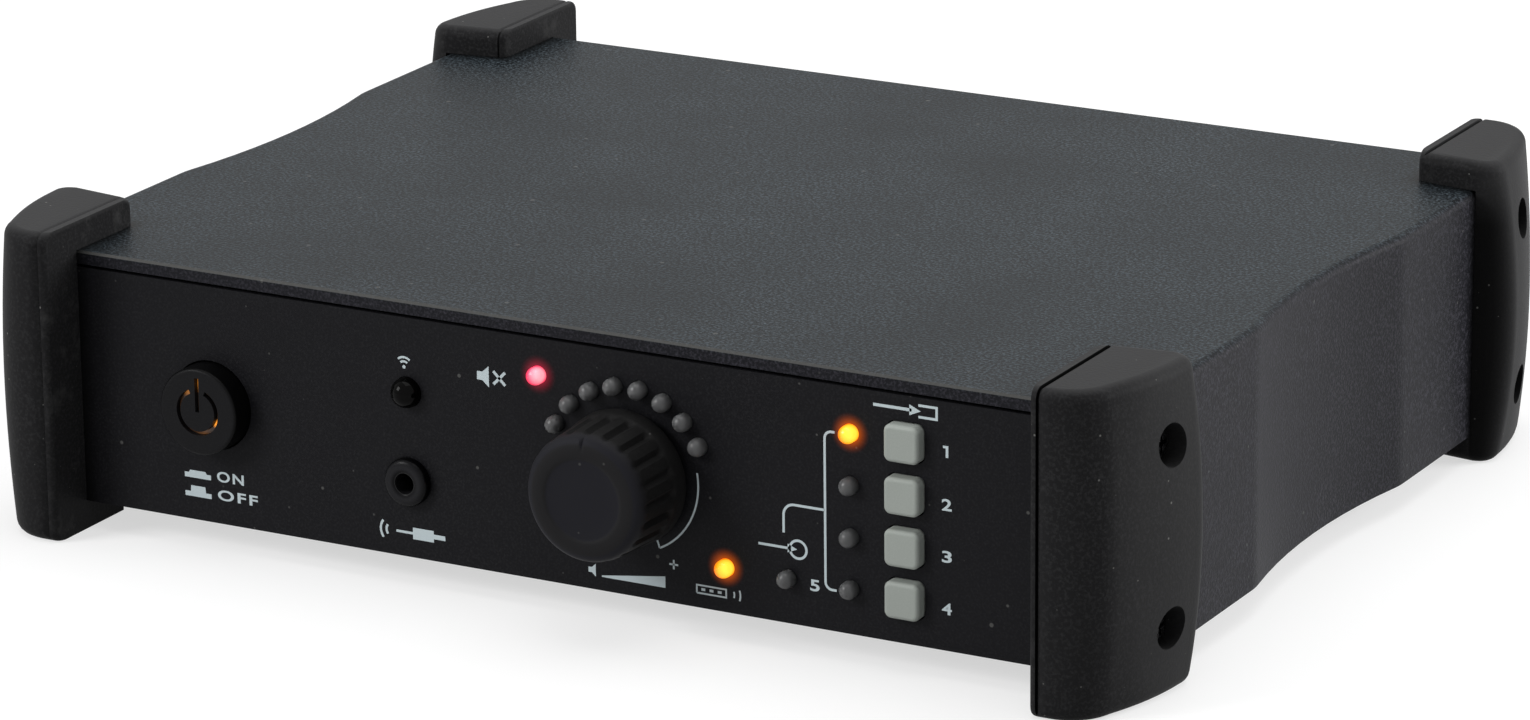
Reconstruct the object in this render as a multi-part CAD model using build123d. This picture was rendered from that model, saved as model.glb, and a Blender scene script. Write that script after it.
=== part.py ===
from build123d import *
import math
import os

# Audio source selector: a low desktop box with rubber corner bumpers, a latching power button,
# a push-to-mute volume knob, indicator lights and a column of source buttons.
# Millimetres, +Z up, front towards -Y. The origin is the middle of the outer box, on the plane
# that the bumpers stand on. Depths run back from the panel face, heights up from the case bottom.

# Case
CASE_WIDTH = 205.8
CASE_DEPTH = 157.0
CASE_HEIGHT = 44.0
COVER_TOP = 2.25
SIDE_WALL = 2.0
COVER_EDGE_RADIUS = 1.6
COVER_END_CHAMFER = 0.35
SCALLOP_LENGTH = 58.0
SCALLOP_DEPTH = 2.8
SCALLOP_KINK_RADIUS = 15.0
COVER_GAP = 0.55
PANEL_THICKNESS = 2.0
REAR_THICKNESS = 1.5
PLATE_THICKNESS = 1.5
SHEET_GAP = 0.15

# Screws and what holds them
SCREW_RADIUS = 1.5
SCREW_HEAD_RADIUS = 2.8
SCREW_HEAD_HEIGHT = 1.6
SCREW_HEAD_ROUND = 0.8
SCREW_LENGTH = 6.0
SCREW_TIP_SPACE = 2.0
CROSS_WIDTH = 0.7
CROSS_LENGTH = 3.2
CROSS_DEPTH = 0.9
THREAD_GAP = 0.05
SCREW_HOLE_GAP = 0.2
POST_RADIUS = 3.5
POST_SIDE_INSET = 9.0
POST_END_INSET = 24.0
TAB_WIDTH = 14.0
TAB_DEPTH = 10.0
TAB_SCREW_INSET = 6.0
TAB_X = 57.0
NUT_ACROSS = 5.5
NUT_HEIGHT = 2.4

# Corner bumpers
BUMPER_LIP = 5.0
BUMPER_INSET = 11.8
BUMPER_REACH = 9.5
BUMPER_SIDE = 2.3
BUMPER_SPLAY = 15.5
BUMPER_LENGTH = 17.3
BUMPER_WALL_LENGTH = 19.0
BUMPER_SIDE_BULGE = 2.75
BUMPER_CORNER_RADIUS = 5.0
BUMPER_TIP_RADIUS = 2.5
BUMPER_EDGE_RADIUS = 2.0
BUMPER_INNER_RADIUS = 0.8
BUMPER_TOP_CUT = 2.0
BUMPER_FOOT_CUT = 6.5
BUMPER_SCREW_DEPTH = 8.2
BUMPER_SCREW_INSET = 7.0
BUMPER_SCREW_SEAT = 0.8
BUMPER_POCKET_RADIUS = 3.5
BUMPER_SCREW_LENGTH = 6.4

# Power button
POWER_X = -65.2
POWER_RADIUS = 7.5
POWER_REACH = 4.3
POWER_SKIRT_GAP = 1.5
POWER_FACE = 1.5
POWER_WALL = 1.2
POWER_EDGE_RADIUS = 0.6
POWER_GAP = 0.3
SYMBOL_RADIUS = 3.7
SYMBOL_LINE = 0.75
SYMBOL_OPENING = 45.0
SYMBOL_BAR_LENGTH = 5.9
LENS_THICKNESS = 1.3
LENS_RIB = 0.6
LENS_GAP = 0.05
POWER_STEM_RADIUS = 2.0
POWER_STEM_GAP = 1.4
POWER_SWITCH_SIZE = 9.0
POWER_SWITCH_DEPTH = 5.5
RUNNING_GAP = 0.06

# Infrared window and extender jack
PANEL_FIT = 0.05
IR_X = -26.8
IR_WINDOW_OFFSET = 7.9
IR_WINDOW_RADIUS = 2.6
IR_WINDOW_REACH = 2.9
IR_FLANGE = 0.5
IR_FLANGE_THICKNESS = 1.0
IR_RECEIVER_GAP = 0.5
IR_RECEIVER_SIZE = 6.0
IR_RECEIVER_DEPTH = 4.0
JACK_OFFSET = -7.4
JACK_BORE_RADIUS = 1.8
JACK_BORE_LENGTH = 14.7
JACK_BUSHING_RADIUS = 3.0
JACK_REACH = 1.7
JACK_NUT_RADIUS = 4.1
JACK_NUT_HEIGHT = 1.9
JACK_NUT_EDGE = 0.6
JACK_BODY_SIZE = 10.0
JACK_END_WALL = 1.5

# Lights
LED_RADIUS = 1.5
LED_REACH = 2.4
LED_BODY = 3.0
LED_FLANGE = 0.4
LED_FLANGE_HEIGHT = 0.9
LED_GAP = 0.05
LEAD_SIZE = 0.5
LEAD_PITCH = 2.54
LEVEL_RADIUS = 14.8
LEVEL_COUNT = 8
LEVEL_STEP = 18.0
MUTE_X = -1.9
MUTE_OFFSET = 14.45
REMOTE_X = 32.4
FIFTH_X = 43.75
SOURCE_LED_X = 55.05

# Volume knob and its encoder
KNOB_X = 14.6
KNOB_REACH = 15.0
KNOB_PANEL_GAP = 1.2
KNOB_BASE_RADIUS = 11.5
KNOB_FRONT_RADIUS = 10.3
KNOB_SKIRT = 3.2
KNOB_EDGE_RADIUS = 1.6
KNOB_DISH_RADIUS = 8.6
KNOB_DISH_DEPTH = 0.3
KNOB_FACE = 1.6
FLUTE_COUNT = 20
FLUTE_RADIUS = 1.15
FLUTE_DEPTH = 0.55
KNOB_CORE_RADIUS = 8.0
KNOB_RECESS_RADIUS = 6.6
KNOB_RECESS_DEPTH = 3.0
KNOB_FIT = 0.05
SHAFT_RADIUS = 3.0
SHAFT_FLAT = 1.5
SHAFT_COVER = 1.4
SHAFT_FIT = 0.02
SHAFT_COLLAR_STEP = 0.9
SHAFT_COLLAR = 1.0
ENCODER_SIZE = 12.0
ENCODER_DEPTH = 6.5
ENCODER_WALL = 0.8
ENCODER_CAVITY_GAP = 0.7
PUSH_PLATE = 1.0
PUSH_PLATE_GAP = 0.05
BUSHING_WALL = 0.44
BUSHING_REACH = 2.8
ENCODER_NUT_ACROSS = 10.0
ENCODER_NUT_HEIGHT = 2.0

# Source buttons and their switches
SOURCE_COUNT = 4
SOURCE_PITCH = 8.67
KEY_X = 64.95
KEY_SIZE = 6.2
KEY_REACH = 2.0
KEY_CORNER_RADIUS = 1.2
KEY_EDGE_RADIUS = 0.7
KEY_GAP = 0.25
KEY_WING = 0.9
KEY_WING_THICKNESS = 0.8
KEY_GUIDE = 1.5
KEY_STEM_SIZE = 4.0
TACT_SIZE = 6.0
TACT_DEPTH = 3.5
TACT_PLUNGER_RADIUS = 1.75
TACT_PLUNGER_REACH = 2.5
TACT_PLUNGER_ROOT = 1.0
TACT_BORE_DEPTH = 2.2

# Boards
BOARD_THICKNESS = 1.6
FRONT_BOARD_DEPTH = 12.0
FRONT_BOARD_LEFT = -74.0
FRONT_BOARD_RIGHT = 81.0
FRONT_BOARD_TAB_GAP = 0.5
FRONT_BOARD_TOP_GAP = 2.4
SPACER_RADIUS = 2.5
SPACER_X = (-46.0, 76.0)
SPACER_INSET = 5.0
JACK_CLEARANCE = 0.5
STANDOFF_HEIGHT = 5.0
MAIN_BOARD_SIDE_GAP = 6.4
MAIN_BOARD_FRONT = 36.0
MAIN_BOARD_REAR_GAP = 1.5
STANDOFF_INSET = 6.0
STANDOFF_REAR_INSET = 20.0
BOARD_SCREW_LENGTH = 5.6
HEADER_LENGTH = 20.0
HEADER_HEIGHT = 8.5
HEADER_THICKNESS = 6.0
HEADER_X = -6.0
HEADER_RISE = 18.0
HEADER_SETBACK = 3.0
RIBBON_WIDTH = 16.0
RIBBON_THICKNESS = 0.9
RIBBON_BEND = 4.0

# Rear sockets
PHONO_X = -66.0
PHONO_PITCH = 18.0
PHONO_INPUTS = 4
PHONO_OUTPUT_GAP = 4.0
PHONO_BASE_HEIGHT = 6.2
PHONO_ROW_PITCH = 13.0
PHONO_HOUSING_WIDTH = 12.0
PHONO_HOUSING_DEPTH = 12.0
PHONO_RADIUS = 4.15
PHONO_WALL = 0.7
PHONO_REACH = 8.5
PHONO_RECESS = 1.0
PHONO_PIN_RADIUS = 1.65
PHONO_CONTACT_WALL = 0.3
PHONO_CONTACT_RECESS = 2.0
PHONO_FIT = 0.05
PHONO_HOLE_GAP = 0.6
PHONO_SEAT = 2.0
NETWORK_X = 38.0
NETWORK_WIDTH = 16.0
NETWORK_HEIGHT = 13.5
NETWORK_DEPTH = 18.0
NETWORK_REACH = 0.8
NETWORK_MOUTH_WIDTH = 11.8
NETWORK_MOUTH_HEIGHT = 7.0
NETWORK_MOUTH_DEPTH = 13.0
NETWORK_LATCH_WIDTH = 6.0
NETWORK_LATCH_HEIGHT = 2.4
NETWORK_FLOOR = 2.6
NETWORK_CONTACTS = 8
NETWORK_CONTACT_PITCH = 1.02
NETWORK_CONTACT_SIZE = 0.4
NETWORK_CONTACT_SETBACK = 3.0
DC_X = 62.0
DC_WIDTH = 9.0
DC_HEIGHT = 11.0
DC_DEPTH = 14.0
DC_AXIS_HEIGHT = 6.5
DC_MOUTH_RADIUS = 3.1
DC_MOUTH_WALL = 0.3
DC_MOUTH_DEPTH = 10.0
DC_PIN_RADIUS = 1.05
DC_PIN_SETBACK = 1.0
SOCKET_GAP = 0.25

# Board components
RELAY_SIZE = (10.0, 15.0, 10.0)
RELAY_SETBACK = 34.0
CAPACITOR_RADIUS = 5.0
CAPACITOR_HEIGHT = 12.5
CAPACITOR_SETBACK = 54.0
CAPACITOR_X = (22.0, 36.0, 50.0)
OP_AMP_SIZE = (6.4, 9.6, 3.4)
OP_AMP_SETBACK = 24.0
OP_AMP_X = (-66.0, -48.0, -30.0, 20.0)
HEATSINK_WIDTH = 24.0
HEATSINK_HEIGHT = 20.0
HEATSINK_BASE = 2.0
HEATSINK_FIN = 6.0
HEATSINK_FINS = 6
HEATSINK_FIN_THICKNESS = 1.2
HEATSINK_X = 66.0
HEATSINK_SETBACK = 44.0
REGULATOR_SIZE = (10.0, 4.4, 15.0)
REGULATOR_LEG = 3.0

# Worked out from the sizes above
FACE_Y = (KNOB_REACH - BUMPER_REACH) / 2 - CASE_DEPTH / 2
CASE_Z = BUMPER_LIP
CASE_MIDDLE_Y = FACE_Y + CASE_DEPTH / 2
INNER_HALF_WIDTH = CASE_WIDTH / 2 - SIDE_WALL
COVER_UNDERSIDE = CASE_HEIGHT - COVER_TOP
PANEL_HEIGHT = COVER_UNDERSIDE - COVER_GAP
PANEL_MIDDLE = PANEL_HEIGHT / 2
CLEARANCE_RADIUS = SCREW_RADIUS + SCREW_HOLE_GAP
POWER_SWITCH_FRONT = FRONT_BOARD_DEPTH - POWER_SWITCH_DEPTH
POWER_SKIRT = POWER_SWITCH_FRONT - POWER_SKIRT_GAP
POWER_STEM_END = FRONT_BOARD_DEPTH - POWER_STEM_GAP
SHAFT_REACH = KNOB_REACH - KNOB_FACE - SHAFT_COVER
SHAFT_COLLAR_RADIUS = SHAFT_RADIUS + SHAFT_COLLAR_STEP
ENCODER_CAVITY_RADIUS = SHAFT_COLLAR_RADIUS + ENCODER_CAVITY_GAP
ENCODER_FRONT = FRONT_BOARD_DEPTH - ENCODER_DEPTH
BUSHING_RADIUS = SHAFT_RADIUS + RUNNING_GAP + BUSHING_WALL
KEY_BODY = PANEL_THICKNESS + KEY_GUIDE
KEY_REAR = FRONT_BOARD_DEPTH - TACT_DEPTH - TACT_PLUNGER_REACH
FRONT_BOARD_BACK = FRONT_BOARD_DEPTH + BOARD_THICKNESS
FRONT_BOARD_LOW = PLATE_THICKNESS + PANEL_THICKNESS + FRONT_BOARD_TAB_GAP
FRONT_BOARD_HIGH = PANEL_HEIGHT - FRONT_BOARD_TOP_GAP
MAIN_BOARD_HALF = CASE_WIDTH / 2 - POST_SIDE_INSET - POST_RADIUS - MAIN_BOARD_SIDE_GAP
MAIN_BOARD_BOTTOM = PLATE_THICKNESS + STANDOFF_HEIGHT
MAIN_BOARD_TOP = MAIN_BOARD_BOTTOM + BOARD_THICKNESS
MAIN_BOARD_END = CASE_DEPTH - REAR_THICKNESS - MAIN_BOARD_REAR_GAP
REAR_INSIDE = CASE_DEPTH - REAR_THICKNESS
SOURCE_HEIGHTS = [
    PANEL_MIDDLE + SOURCE_PITCH * ((SOURCE_COUNT - 1) / 2 - row) for row in range(SOURCE_COUNT)
]
LAST_SOURCE_HEIGHT = SOURCE_HEIGHTS[-1]
POST_PLACES = [
    (side * (CASE_WIDTH / 2 - POST_SIDE_INSET), depth)
    for side in (-1, 1)
    for depth in (POST_END_INSET, CASE_DEPTH - POST_END_INSET)
]
TAB_SCREW_DEPTHS = (PANEL_THICKNESS + TAB_SCREW_INSET, REAR_INSIDE - TAB_SCREW_INSET)
STANDOFF_PLACES = [
    (side * (MAIN_BOARD_HALF - STANDOFF_INSET), depth)
    for side in (-1, 1)
    for depth in (MAIN_BOARD_FRONT + STANDOFF_INSET, MAIN_BOARD_END - STANDOFF_REAR_INSET)
]
SPACER_PLACES = [
    (x, height)
    for x in SPACER_X
    for height in (FRONT_BOARD_LOW + SPACER_INSET, FRONT_BOARD_HIGH - SPACER_INSET)
]
PHONO_COLUMNS = [PHONO_X + PHONO_PITCH * column for column in range(PHONO_INPUTS)]
PHONO_COLUMNS.append(PHONO_COLUMNS[-1] + PHONO_PITCH + PHONO_OUTPUT_GAP)
PHONO_LOW = MAIN_BOARD_TOP + PHONO_BASE_HEIGHT
PHONO_HIGH = PHONO_LOW + PHONO_ROW_PITCH
DC_HEIGHT_AXIS = MAIN_BOARD_TOP + DC_AXIS_HEIGHT


def at(x, depth, height):
    """A place given from the panel's middle, back from its face and up from the case bottom."""
    return Pos(x, FACE_Y + depth, CASE_Z + height)


def block(x0, x1, d0, d1, h0, h1):
    """A box between two limits of x, depth and height."""
    middle = at((x0 + x1) / 2, (d0 + d1) / 2, (h0 + h1) / 2)
    return middle * Box(x1 - x0, d1 - d0, h1 - h0)


def rod(x, height, d0, d1, radius):
    """A round bar along the depth."""
    return at(x, (d0 + d1) / 2, height) * Rot(90, 0, 0) * Cylinder(radius, d1 - d0)


def tube(x, height, d0, d1, outer, inner):
    """A round sleeve along the depth."""
    return rod(x, height, d0, d1, outer) - rod(x, height, d0, d1, inner)


def upright(x, depth, h0, h1, radius):
    """A round bar along the height."""
    return at(x, depth, (h0 + h1) / 2) * Cylinder(radius, h1 - h0)


def hexagon(across, height):
    """A hexagonal bar along Z, measured across its flats, centred on the origin."""
    prism = extrude(RegularPolygon(across / 2, 6, major_radius=False), height)
    return Pos(0, 0, -height / 2) * prism


def square_bar(x, height, d0, d1, size, corner):
    """A square bar along the depth with rounded long corners."""
    outline = RectangleRounded(size, size, corner)
    return at(x, d1, height) * Rot(90, 0, 0) * extrude(outline, d1 - d0)


def screw(length):
    """A cross-head screw along Z: its head stands on the origin and its shank hangs below."""
    head = Pos(0, 0, SCREW_HEAD_HEIGHT / 2) * Cylinder(SCREW_HEAD_RADIUS, SCREW_HEAD_HEIGHT)
    head = fillet(head.edges().sort_by(Axis.Z)[-1], SCREW_HEAD_ROUND)
    shank = Pos(0, 0, -length / 2) * Cylinder(SCREW_RADIUS, length)
    recess = Pos(0, 0, SCREW_HEAD_HEIGHT - CROSS_DEPTH / 2)
    bar = Box(CROSS_LENGTH, CROSS_WIDTH, CROSS_DEPTH)
    return head + shank - recess * bar - recess * Rot(0, 0, 90) * bar


def group(solids):
    """Separate like pieces that share one node."""
    return Compound(children=[solid.solid() for solid in solids])


def case_outline(half_width, d0, d1):
    """The case's plan between two depths, with a shallow scallop in the middle of each side."""
    y0, y1 = FACE_Y + d0, FACE_Y + d1
    s0, s1 = CASE_MIDDLE_Y - SCALLOP_LENGTH / 2, CASE_MIDDLE_Y + SCALLOP_LENGTH / 2
    waist = half_width - SCALLOP_DEPTH
    sides = [
        Line((-half_width, y0), (half_width, y0)),
        Line((half_width, y0), (half_width, s0)),
        ThreePointArc((half_width, s0), (waist, CASE_MIDDLE_Y), (half_width, s1)),
        Line((half_width, s1), (half_width, y1)),
        Line((half_width, y1), (-half_width, y1)),
        Line((-half_width, y1), (-half_width, s1)),
        ThreePointArc((-half_width, s1), (-waist, CASE_MIDDLE_Y), (-half_width, s0)),
        Line((-half_width, s0), (-half_width, y0)),
    ]
    return make_face(Wire(sides))


def case_slab(half_width, d0, d1, h0, h1):
    """The case's plan drawn up between two heights, its kinks softened."""
    slab = Pos(0, 0, CASE_Z + h0) * extrude(case_outline(half_width, d0, d1), h1 - h0)
    kinks = [
        edge
        for edge in slab.edges().filter_by(Axis.Z)
        if abs(abs(edge.center().Y - CASE_MIDDLE_Y) - SCALLOP_LENGTH / 2) < 0.01
    ]
    return fillet(kinks, SCALLOP_KINK_RADIUS)


def top_cover():
    """The cast shell: top, two scalloped side walls and four screw posts that reach the plate."""
    shell = case_slab(CASE_WIDTH / 2, 0, CASE_DEPTH, 0, CASE_HEIGHT)
    rim = shell.edges().group_by(Axis.Z)[-1]
    shell = fillet(rim.filter_by(lambda edge: abs(edge.center().X) > CASE_WIDTH / 4), COVER_EDGE_RADIUS)
    ends = shell.edges().filter_by(
        lambda edge: abs(edge.center().Y - CASE_MIDDLE_Y) > CASE_DEPTH / 2 - 0.01 and edge.center().Z > CASE_Z
    )
    shell = chamfer(ends, COVER_END_CHAMFER)
    hollow = case_slab(INNER_HALF_WIDTH, -CASE_DEPTH, 2 * CASE_DEPTH, -CASE_HEIGHT, COVER_UNDERSIDE)
    shell -= hollow
    for x, depth in POST_PLACES:
        shell += upright(x, depth, PLATE_THICKNESS, COVER_UNDERSIDE, POST_RADIUS)
        bore_end = SCREW_LENGTH + SCREW_TIP_SPACE
        shell -= upright(x, depth, PLATE_THICKNESS, bore_end, SCREW_RADIUS + THREAD_GAP)
    for x, depth, height in bumper_screw_places():
        hole = Rot(0, 90, 0) * Cylinder(CLEARANCE_RADIUS, 4 * SIDE_WALL)
        shell -= at(math.copysign(CASE_WIDTH / 2, x), depth, height) * hole
    return shell


def bottom_plate():
    """The floor plate between the side walls, drilled for the posts and the panel tabs."""
    plate = case_slab(
        INNER_HALF_WIDTH - SHEET_GAP,
        PANEL_THICKNESS + SHEET_GAP,
        REAR_INSIDE - SHEET_GAP,
        0,
        PLATE_THICKNESS,
    )
    for x, depth in case_screw_places():
        plate -= upright(x, depth, -1, PLATE_THICKNESS + 1, CLEARANCE_RADIUS)
    return plate


def case_screw_places():
    """Where the underside screws go: into the cover's posts and the tabs of both panels."""
    tabs = [(side * TAB_X, depth) for side in (-1, 1) for depth in TAB_SCREW_DEPTHS]
    return POST_PLACES + tabs


def case_screws():
    places = [at(x, depth, 0) * Rot(180, 0, 0) * screw(SCREW_LENGTH) for x, depth in case_screw_places()]
    return group(places)


def panel_tabs(panel, d0, d1, screw_depth):
    """Adds the two folded feet that a panel is screwed down by."""
    top = PLATE_THICKNESS + PANEL_THICKNESS
    for side in (-1, 1):
        x = side * TAB_X
        panel += block(x - TAB_WIDTH / 2, x + TAB_WIDTH / 2, d0, d1, PLATE_THICKNESS, top)
        panel -= upright(x, screw_depth, 0, top + 1, SCREW_RADIUS + THREAD_GAP)
    return panel


def front_panel():
    """The flat front panel with an opening for each control and light."""
    half = INNER_HALF_WIDTH - SHEET_GAP
    panel = block(-half, half, 0, PANEL_THICKNESS, 0, PANEL_HEIGHT)
    panel = panel_tabs(panel, PANEL_THICKNESS, PANEL_THICKNESS + TAB_DEPTH, TAB_SCREW_DEPTHS[0])
    holes = [(POWER_X, PANEL_MIDDLE, POWER_RADIUS + POWER_GAP)]
    holes.append((IR_X, PANEL_MIDDLE + IR_WINDOW_OFFSET, IR_WINDOW_RADIUS + PANEL_FIT))
    holes.append((IR_X, PANEL_MIDDLE + JACK_OFFSET, JACK_BUSHING_RADIUS + PANEL_FIT))
    holes.append((KNOB_X, PANEL_MIDDLE, BUSHING_RADIUS + PANEL_FIT))
    lights = [mute_place(), remote_place(), fifth_place()] + level_places() + source_led_places()
    holes += [(x, height, LED_RADIUS + LED_GAP) for x, height in lights]
    for x, height, radius in holes:
        panel -= rod(x, height, -1, PANEL_THICKNESS + 1, radius)
    opening = KEY_SIZE + 2 * KEY_GAP
    for height in SOURCE_HEIGHTS:
        corner = KEY_CORNER_RADIUS + KEY_GAP
        panel -= square_bar(KEY_X, height, -1, PANEL_THICKNESS + 1, opening, corner)
    return panel


def rear_panel():
    """The rear panel with an opening for each socket."""
    half = INNER_HALF_WIDTH - SHEET_GAP
    panel = block(-half, half, REAR_INSIDE, CASE_DEPTH, 0, PANEL_HEIGHT)
    panel = panel_tabs(panel, REAR_INSIDE - TAB_DEPTH, REAR_INSIDE, TAB_SCREW_DEPTHS[1])
    for x, height in phono_places():
        panel -= rod(x, height, REAR_INSIDE - 1, CASE_DEPTH + 1, PHONO_RADIUS + PHONO_HOLE_GAP)
    panel -= block(
        NETWORK_X - NETWORK_WIDTH / 2 - SOCKET_GAP,
        NETWORK_X + NETWORK_WIDTH / 2 + SOCKET_GAP,
        REAR_INSIDE - 1,
        CASE_DEPTH + 1,
        MAIN_BOARD_TOP - SOCKET_GAP,
        MAIN_BOARD_TOP + NETWORK_HEIGHT + SOCKET_GAP,
    )
    panel -= rod(DC_X, DC_HEIGHT_AXIS, REAR_INSIDE - 1, CASE_DEPTH + 1, DC_MOUTH_RADIUS + SOCKET_GAP)
    return panel


def bumper_screw_places():
    """The two screws of each bumper, as x of the case side, depth and height."""
    return [
        (side * CASE_WIDTH / 2, depth, height)
        for side in (-1, 1)
        for depth in (BUMPER_SCREW_DEPTH, CASE_DEPTH - BUMPER_SCREW_DEPTH)
        for height in (BUMPER_SCREW_INSET, CASE_HEIGHT - BUMPER_SCREW_INSET)
    ]


def bulged_slab(length, bulge):
    """A slab along its local X whose +Y face bows out by the bulge between top and bottom."""
    low, high = -BUMPER_LIP, CASE_HEIGHT + BUMPER_LIP
    back = -CASE_DEPTH
    outline = [
        Line((back, low), (-bulge, low)),
        ThreePointArc((-bulge, low), (0, (low + high) / 2), (-bulge, high)),
        Line((-bulge, high), (back, high)),
        Line((back, high), (back, low)),
    ]
    profile = Plane.YZ * make_face(Wire(outline))
    return Pos(-length / 2, 0, 0) * extrude(profile, length)


def tall_edges(body, chosen):
    """The edges that run up a body and whose middles are at a chosen place."""
    tall = body.edges().filter_by(lambda edge: edge.bounding_box().size.Z > BUMPER_LIP)
    return [edge for edge in tall if chosen(edge.center())]


def lip_cut(inner, size, height):
    """The wedge that cuts off the free inner corner of a lip that starts at a height."""
    end = BUMPER_LENGTH
    corner = [(inner, end - size), (inner, end + size), (inner + 2 * size, end + size)]
    outline = make_face(Polyline(*[(x, FACE_Y + depth) for x, depth in corner], close=True))
    return Pos(0, 0, CASE_Z + height) * extrude(outline, BUMPER_LIP)


def bumper():
    """The front right corner bumper: a bowed side, a rounded corner, and lips over and under the case."""
    side = CASE_WIDTH / 2
    inner = side - BUMPER_INSET
    splay = math.tan(math.radians(BUMPER_SPLAY))
    tip = side + BUMPER_SIDE + BUMPER_LENGTH * splay
    wedge = [
        (inner, -BUMPER_REACH),
        (inner, BUMPER_LENGTH),
        (side, BUMPER_WALL_LENGTH),
        (tip, BUMPER_LENGTH),
        (tip + CASE_WIDTH, BUMPER_LENGTH - CASE_WIDTH * (BUMPER_WALL_LENGTH - BUMPER_LENGTH) / (tip - side)),
        (tip + CASE_WIDTH, -BUMPER_REACH),
    ]
    plan = make_face(Polyline(*[(x, FACE_Y + depth) for x, depth in wedge], close=True))
    body = Pos(0, 0, -1) * extrude(plan, CASE_Z + CASE_HEIGHT + BUMPER_LIP + 2)
    outer = at(side + BUMPER_SIDE, 0, 0) * Rot(0, 0, -90 - BUMPER_SPLAY)
    body &= outer * bulged_slab(4 * CASE_WIDTH, BUMPER_SIDE_BULGE)
    body = body.solid()
    corner = tall_edges(body, lambda place: place.X > inner + 1 and place.Y < FACE_Y)
    body = fillet(corner, BUMPER_CORNER_RADIUS)
    tip_edges = tall_edges(body, lambda place: place.X > side + BUMPER_SIDE and place.Y > FACE_Y)
    body = fillet(tip_edges, BUMPER_TIP_RADIUS)
    for end in (0, -1):
        rim = body.edges().group_by(Axis.Z)[end]
        body = fillet(rim.filter_by(lambda edge: edge.center().X > inner + 0.1), BUMPER_EDGE_RADIUS)
    inner_edges = tall_edges(body, lambda place: place.X < inner + 0.1 and place.Y < FACE_Y)
    body = fillet(inner_edges, BUMPER_INNER_RADIUS)
    body -= block(-side, side, 0, CASE_DEPTH, 0, CASE_HEIGHT)
    body -= lip_cut(inner, BUMPER_TOP_CUT, CASE_HEIGHT)
    body -= lip_cut(inner, BUMPER_FOOT_CUT, -BUMPER_LIP)
    for x, depth, height in bumper_screw_places():
        if x > 0 and depth == BUMPER_SCREW_DEPTH:
            seat = at(x + BUMPER_SCREW_SEAT, depth, height) * Rot(0, 90, 0)
            bottom_aligned = (Align.CENTER, Align.CENTER, Align.MIN)
            body -= seat * Cylinder(BUMPER_POCKET_RADIUS, CASE_WIDTH, align=bottom_aligned)
            body -= seat * Cylinder(CLEARANCE_RADIUS, 4 * BUMPER_SCREW_SEAT)
    return body.solid()


def bumpers():
    """All four corners, mirrored from the front right one."""
    front_right = bumper()
    middle = Plane((0, CASE_MIDDLE_Y, 0), z_dir=(0, 1, 0))
    rear_right = mirror(front_right, middle)
    return {
        "bumper_front_right": front_right,
        "bumper_front_left": mirror(front_right, Plane.YZ),
        "bumper_rear_right": rear_right,
        "bumper_rear_left": mirror(rear_right, Plane.YZ),
    }


def bumper_screws():
    solids = []
    for x, depth, height in bumper_screw_places():
        side = math.copysign(1, x)
        seat = at(x + side * BUMPER_SCREW_SEAT, depth, height) * Rot(0, side * 90, 0)
        solids.append(seat * screw(BUMPER_SCREW_LENGTH))
    return group(solids)


def bumper_nuts():
    """Nuts against the inside of the side walls, one for each bumper screw."""
    solids = []
    for x, depth, height in bumper_screw_places():
        side = math.copysign(1, x)
        place = at(x - side * (SIDE_WALL + NUT_HEIGHT / 2), depth, height) * Rot(0, 90, 0)
        bore = Cylinder(SCREW_RADIUS + THREAD_GAP, 2 * NUT_HEIGHT)
        solids.append(place * (hexagon(NUT_ACROSS, NUT_HEIGHT) - bore))
    return group(solids)


def power_symbol(line):
    """The outline of a power mark: a ring open at the top and a bar standing in the gap."""
    ring = Circle(SYMBOL_RADIUS + line / 2) - Circle(SYMBOL_RADIUS - line / 2)
    reach = 2 * SYMBOL_RADIUS
    half = math.radians(SYMBOL_OPENING / 2)
    notch = Polyline(
        (0, 0),
        (reach * math.sin(half), reach * math.cos(half)),
        (-reach * math.sin(half), reach * math.cos(half)),
        close=True,
    )
    bar = Pos(0, SYMBOL_BAR_LENGTH / 2) * Rectangle(line, SYMBOL_BAR_LENGTH)
    return ring - make_face(notch) + bar


def symbol_cut(line, d0, d1):
    """The power mark drawn through between two depths, upright as seen from the front."""
    return at(POWER_X, d1, PANEL_MIDDLE) * Rot(90, 0, 0) * extrude(power_symbol(line), d1 - d0)


def power_button_cap():
    """A round cap, open at the back, with the power mark cut through its face."""
    cap = rod(POWER_X, PANEL_MIDDLE, -POWER_REACH, POWER_SKIRT, POWER_RADIUS)
    cap = fillet(cap.edges().sort_by(Axis.Y)[0], POWER_EDGE_RADIUS)
    cap -= rod(POWER_X, PANEL_MIDDLE, POWER_FACE - POWER_REACH, POWER_SKIRT + 1, POWER_RADIUS - POWER_WALL)
    return cap - symbol_cut(SYMBOL_LINE, -POWER_REACH - 1, POWER_FACE - POWER_REACH + 1)


def power_symbol_lens():
    """The light guide behind the cap's face, its raised mark standing in the cut."""
    seat = POWER_FACE - POWER_REACH + LENS_GAP
    radius = POWER_RADIUS - POWER_WALL - LENS_GAP
    disc = rod(POWER_X, PANEL_MIDDLE, seat, seat + LENS_THICKNESS, radius)
    return disc + symbol_cut(SYMBOL_LINE - 2 * LENS_GAP, seat - LENS_RIB, seat + LENS_THICKNESS / 2)


def power_plunger():
    """The switch's own stem, from the light guide into the latch."""
    start = POWER_FACE - POWER_REACH + LENS_GAP + LENS_THICKNESS
    return rod(POWER_X, PANEL_MIDDLE, start, POWER_STEM_END, POWER_STEM_RADIUS)


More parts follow.
